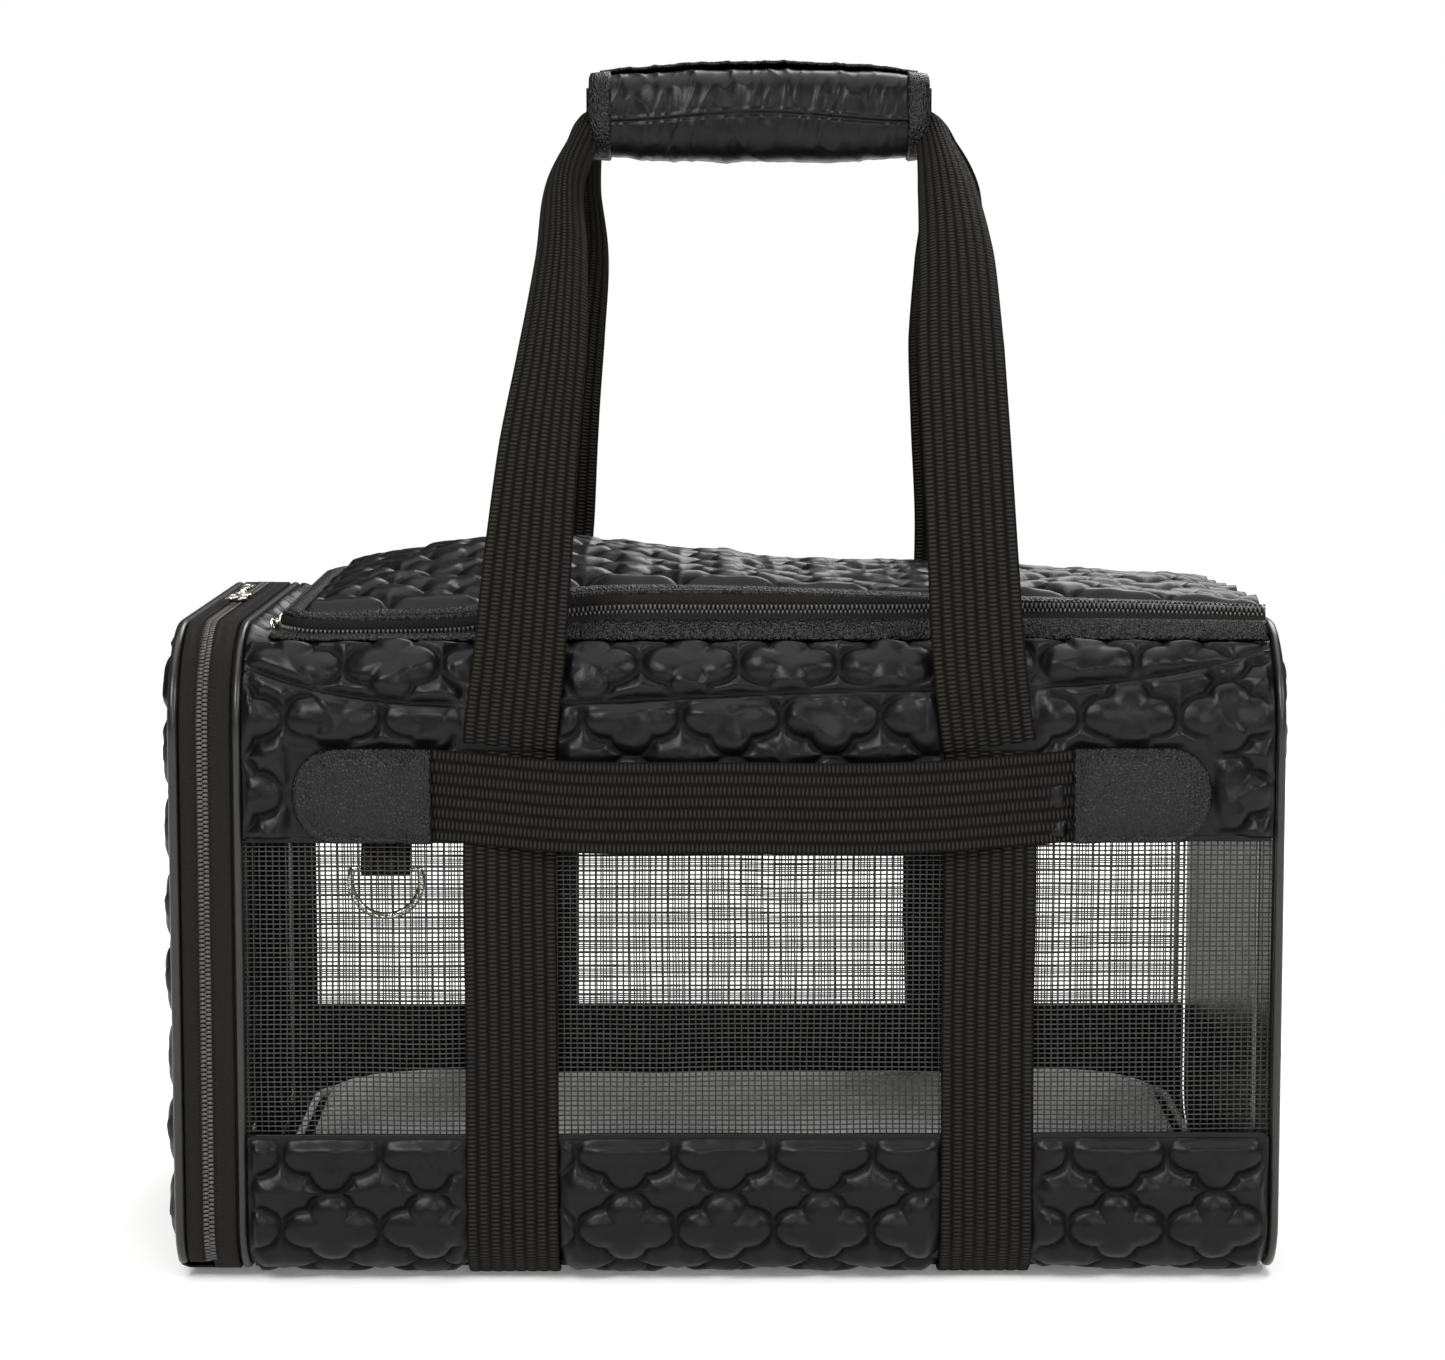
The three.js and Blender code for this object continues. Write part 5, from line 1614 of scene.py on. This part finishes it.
def pull(name, node, normal, direction, body):
    """A pull tab: an eye round the bridge, a narrow neck and a pierced, rounded tongue."""
    low, high = span(node)
    normal, direction = np.array(normal, float), np.array(direction, float)
    side = np.cross(normal, direction)
    length = abs(np.dot(high - low, direction))
    width = abs(np.dot(high - low, side))
    thick = abs(np.dot(high - low, normal))
    middle = (low + high) / 2
    start = middle - direction * length / 2
    stations = np.linspace(0, 1, 26)
    half = width / 2 * (0.62 + 0.38 * smooth_step(stations, 0.3, 0.5))
    half = half * np.sqrt(np.clip(1 - (np.clip(stations - 0.82, 0, 1) / 0.18) ** 2, 0.02, 1))
    upper = np.column_stack([stations * length, half])
    rim = respaced(np.concatenate([upper, upper[::-1] * [1, -1]]), 0.6, closed=True)
    slot_centre = np.array([length * 0.58, 0])
    slot_low, slot_high = (length * 0.34, -width * 0.2), (length * 0.82, width * 0.2)
    slot_shape = rounded_rectangle(slot_low, slot_high, width * 0.19)
    angles = np.linspace(0, 2 * math.pi, 72, endpoint=False)
    outside = polar(rim, slot_centre, angles)
    inside = polar(slot_shape, slot_centre, angles)
    high_z, soft = thick / 2, thick * 0.22
    near, far = inside + (outside - inside) * 0.2, inside + (outside - inside) * 0.8
    rings = [(inside, high_z - soft), (near, high_z), (far, high_z), (outside, high_z - soft),
             (outside, soft - high_z), (far, -high_z), (near, -high_z), (inside, soft - high_z)]
    axes = np.stack([direction, side, normal])
    grid = np.stack([start + points_at(*ring.T, z) @ axes for ring, z in rings])
    dress(ringed(name, grid, NICKEL), body, "nickel", node)


def sliders():
    up, left, right = (0, 0, 1), (-1, 0, 0), (1, 0, 0)
    slider("front_runner", "door_front_slider", up, "door_front_slider", 1)
    slider("rear_runner", "door_rear_slider", up, "door_rear_slider", -1)
    slider("flap_runner", "flap_slider", left, "flap_slider", -1)
    slider("pocket_runner", "pocket_slider", right, "pocket_slider", -1)
    pull("front_tab", "door_front_pull", up, (0, -1, 0), "door_front_pull")
    pull("rear_tab", "door_rear_pull", up, (0, 1, 0), "door_rear_pull")
    pull("flap_tab", "flap_pull", left, (0, -1, 0), "flap_pull")
    pull("pocket_tab", "pocket_pull", right, (0, 0, -1), "pocket_pull")


# ---- scene: floor, light, camera -----------------------------------------------------------------
def studio_white():
    """Pale floor whose far part glows, so that its edge melts into the white surroundings."""
    mat = new_material("studio_white", (0.9, 0.897, 0.89), 0.8, Specular_IOR_Level=0.1,
                       Emission_Color=(1, 1, 1, 1))
    n = Nodes(mat)
    away = n.add("ShaderNodeVectorMath", operation="LENGTH")
    n.link(n.add("ShaderNodeTexCoord").outputs["Object"], away.inputs[0])
    glow = n.add("ShaderNodeMapRange", interpolation_type="SMOOTHSTEP")
    n.link(away.outputs["Value"], glow.inputs["Value"])
    for socket, value in (("From Min", 0.7), ("From Max", 1.5), ("To Min", 0.15), ("To Max", 0.7)):
        glow.inputs[socket].default_value = value
    n.link(glow.outputs["Result"], n.shader.inputs["Emission Strength"])
    return mat


def studio():
    """White floor and surroundings, one soft sun overhead and four area lights."""
    floor_mesh = bpy.data.meshes.new("studio_floor")
    reach, behind = FLOOR_REACH, FLOOR_BEHIND
    corners = [(-reach, -reach, 0), (reach, -reach, 0), (reach, behind, 0), (-reach, behind, 0)]
    floor_mesh.from_pydata(corners, [], [(0, 1, 2, 3)])
    floor = bpy.data.objects.new("studio_floor", floor_mesh)
    bpy.context.scene.collection.objects.link(floor)
    floor_mesh.materials.append(studio_white())
    world = bpy.data.worlds.new("studio_world")
    world.use_nodes = True
    tree = world.node_tree
    dim = tree.nodes["Background"]
    dim.inputs["Color"].default_value = (1, 1, 1, 1)
    dim.inputs["Strength"].default_value = 0.1
    white = tree.nodes.new("ShaderNodeBackground")
    white.inputs["Color"].default_value = (1, 1, 1, 1)
    seen = tree.nodes.new("ShaderNodeLightPath")
    either = tree.nodes.new("ShaderNodeMixShader")
    tree.links.new(seen.outputs["Is Camera Ray"], either.inputs[0])
    tree.links.new(dim.outputs[0], either.inputs[1])
    tree.links.new(white.outputs[0], either.inputs[2])
    tree.links.new(either.outputs[0], tree.nodes["World Output"].inputs[0])
    bpy.context.scene.world = world
    overhead = bpy.data.lights.new("overhead", "SUN")
    overhead.energy = OVERHEAD_ENERGY
    overhead.angle = math.radians(OVERHEAD_SPREAD)
    bpy.context.scene.collection.objects.link(bpy.data.objects.new("overhead", overhead))
    for name, place, aim, size, power in LIGHTS:
        light = bpy.data.lights.new(name, "AREA")
        light.size = size
        light.energy = power
        lamp = bpy.data.objects.new(name, light)
        lamp.location = place
        lamp.rotation_euler = (Vector(aim) - Vector(place)).to_track_quat("-Z", "Y").to_euler()
        bpy.context.scene.collection.objects.link(lamp)
    bpy.context.scene.view_settings.view_transform = "Standard"


def camera():
    """The photo's viewpoint: in front, a little above the carrier, looking slightly down."""
    data = bpy.data.cameras.new("photo_camera")
    data.sensor_width = CAMERA_SENSOR
    data.lens = CAMERA_LENS
    data.clip_start, data.clip_end = 0.05, 100
    view = bpy.data.objects.new("photo_camera", data)
    view.location = CAMERA_PLACE
    view.rotation_euler = (math.radians(90 - CAMERA_PITCH), 0, -math.radians(CAMERA_YAW))
    bpy.context.scene.collection.objects.link(view)
    bpy.context.scene.camera = view


# ---- carried-over CAD nodes ----------------------------------------------------------------------
def finish_cad_nodes():
    """Gives every CAD node the procedural material of its record slot. Only the base board shows."""
    for entry in frame["record"]["subparts"]:
        for slot in frame["nodes"][entry["node"]].material_slots:
            slot.material = SLOTS[entry["material_slot"]]


def build():
    """Every piece of the carrier."""
    for sign in (FRONT, BACK):
        side = side_name(sign)
        lower_wall(sign)
        upper_wall(sign)
        wall_binding(f"window_sill_{side}", sign, WINDOW_LOW + 0.4)
        wall_binding(f"window_head_{side}", sign, WINDOW_HIGH - 0.4)
        wall_window(sign)
    base_fabric()
    end_rings()
    door()
    door_coils()
    door_hinge()
    flap()
    flap_zip()
    top_strip()
    pocket_end()
    wall_straps()
    belts()
    handle_legs()
    grip()
    floor_pad()
    tether()
    sliders()


studio()
camera()
build()
finish_cad_nodes()
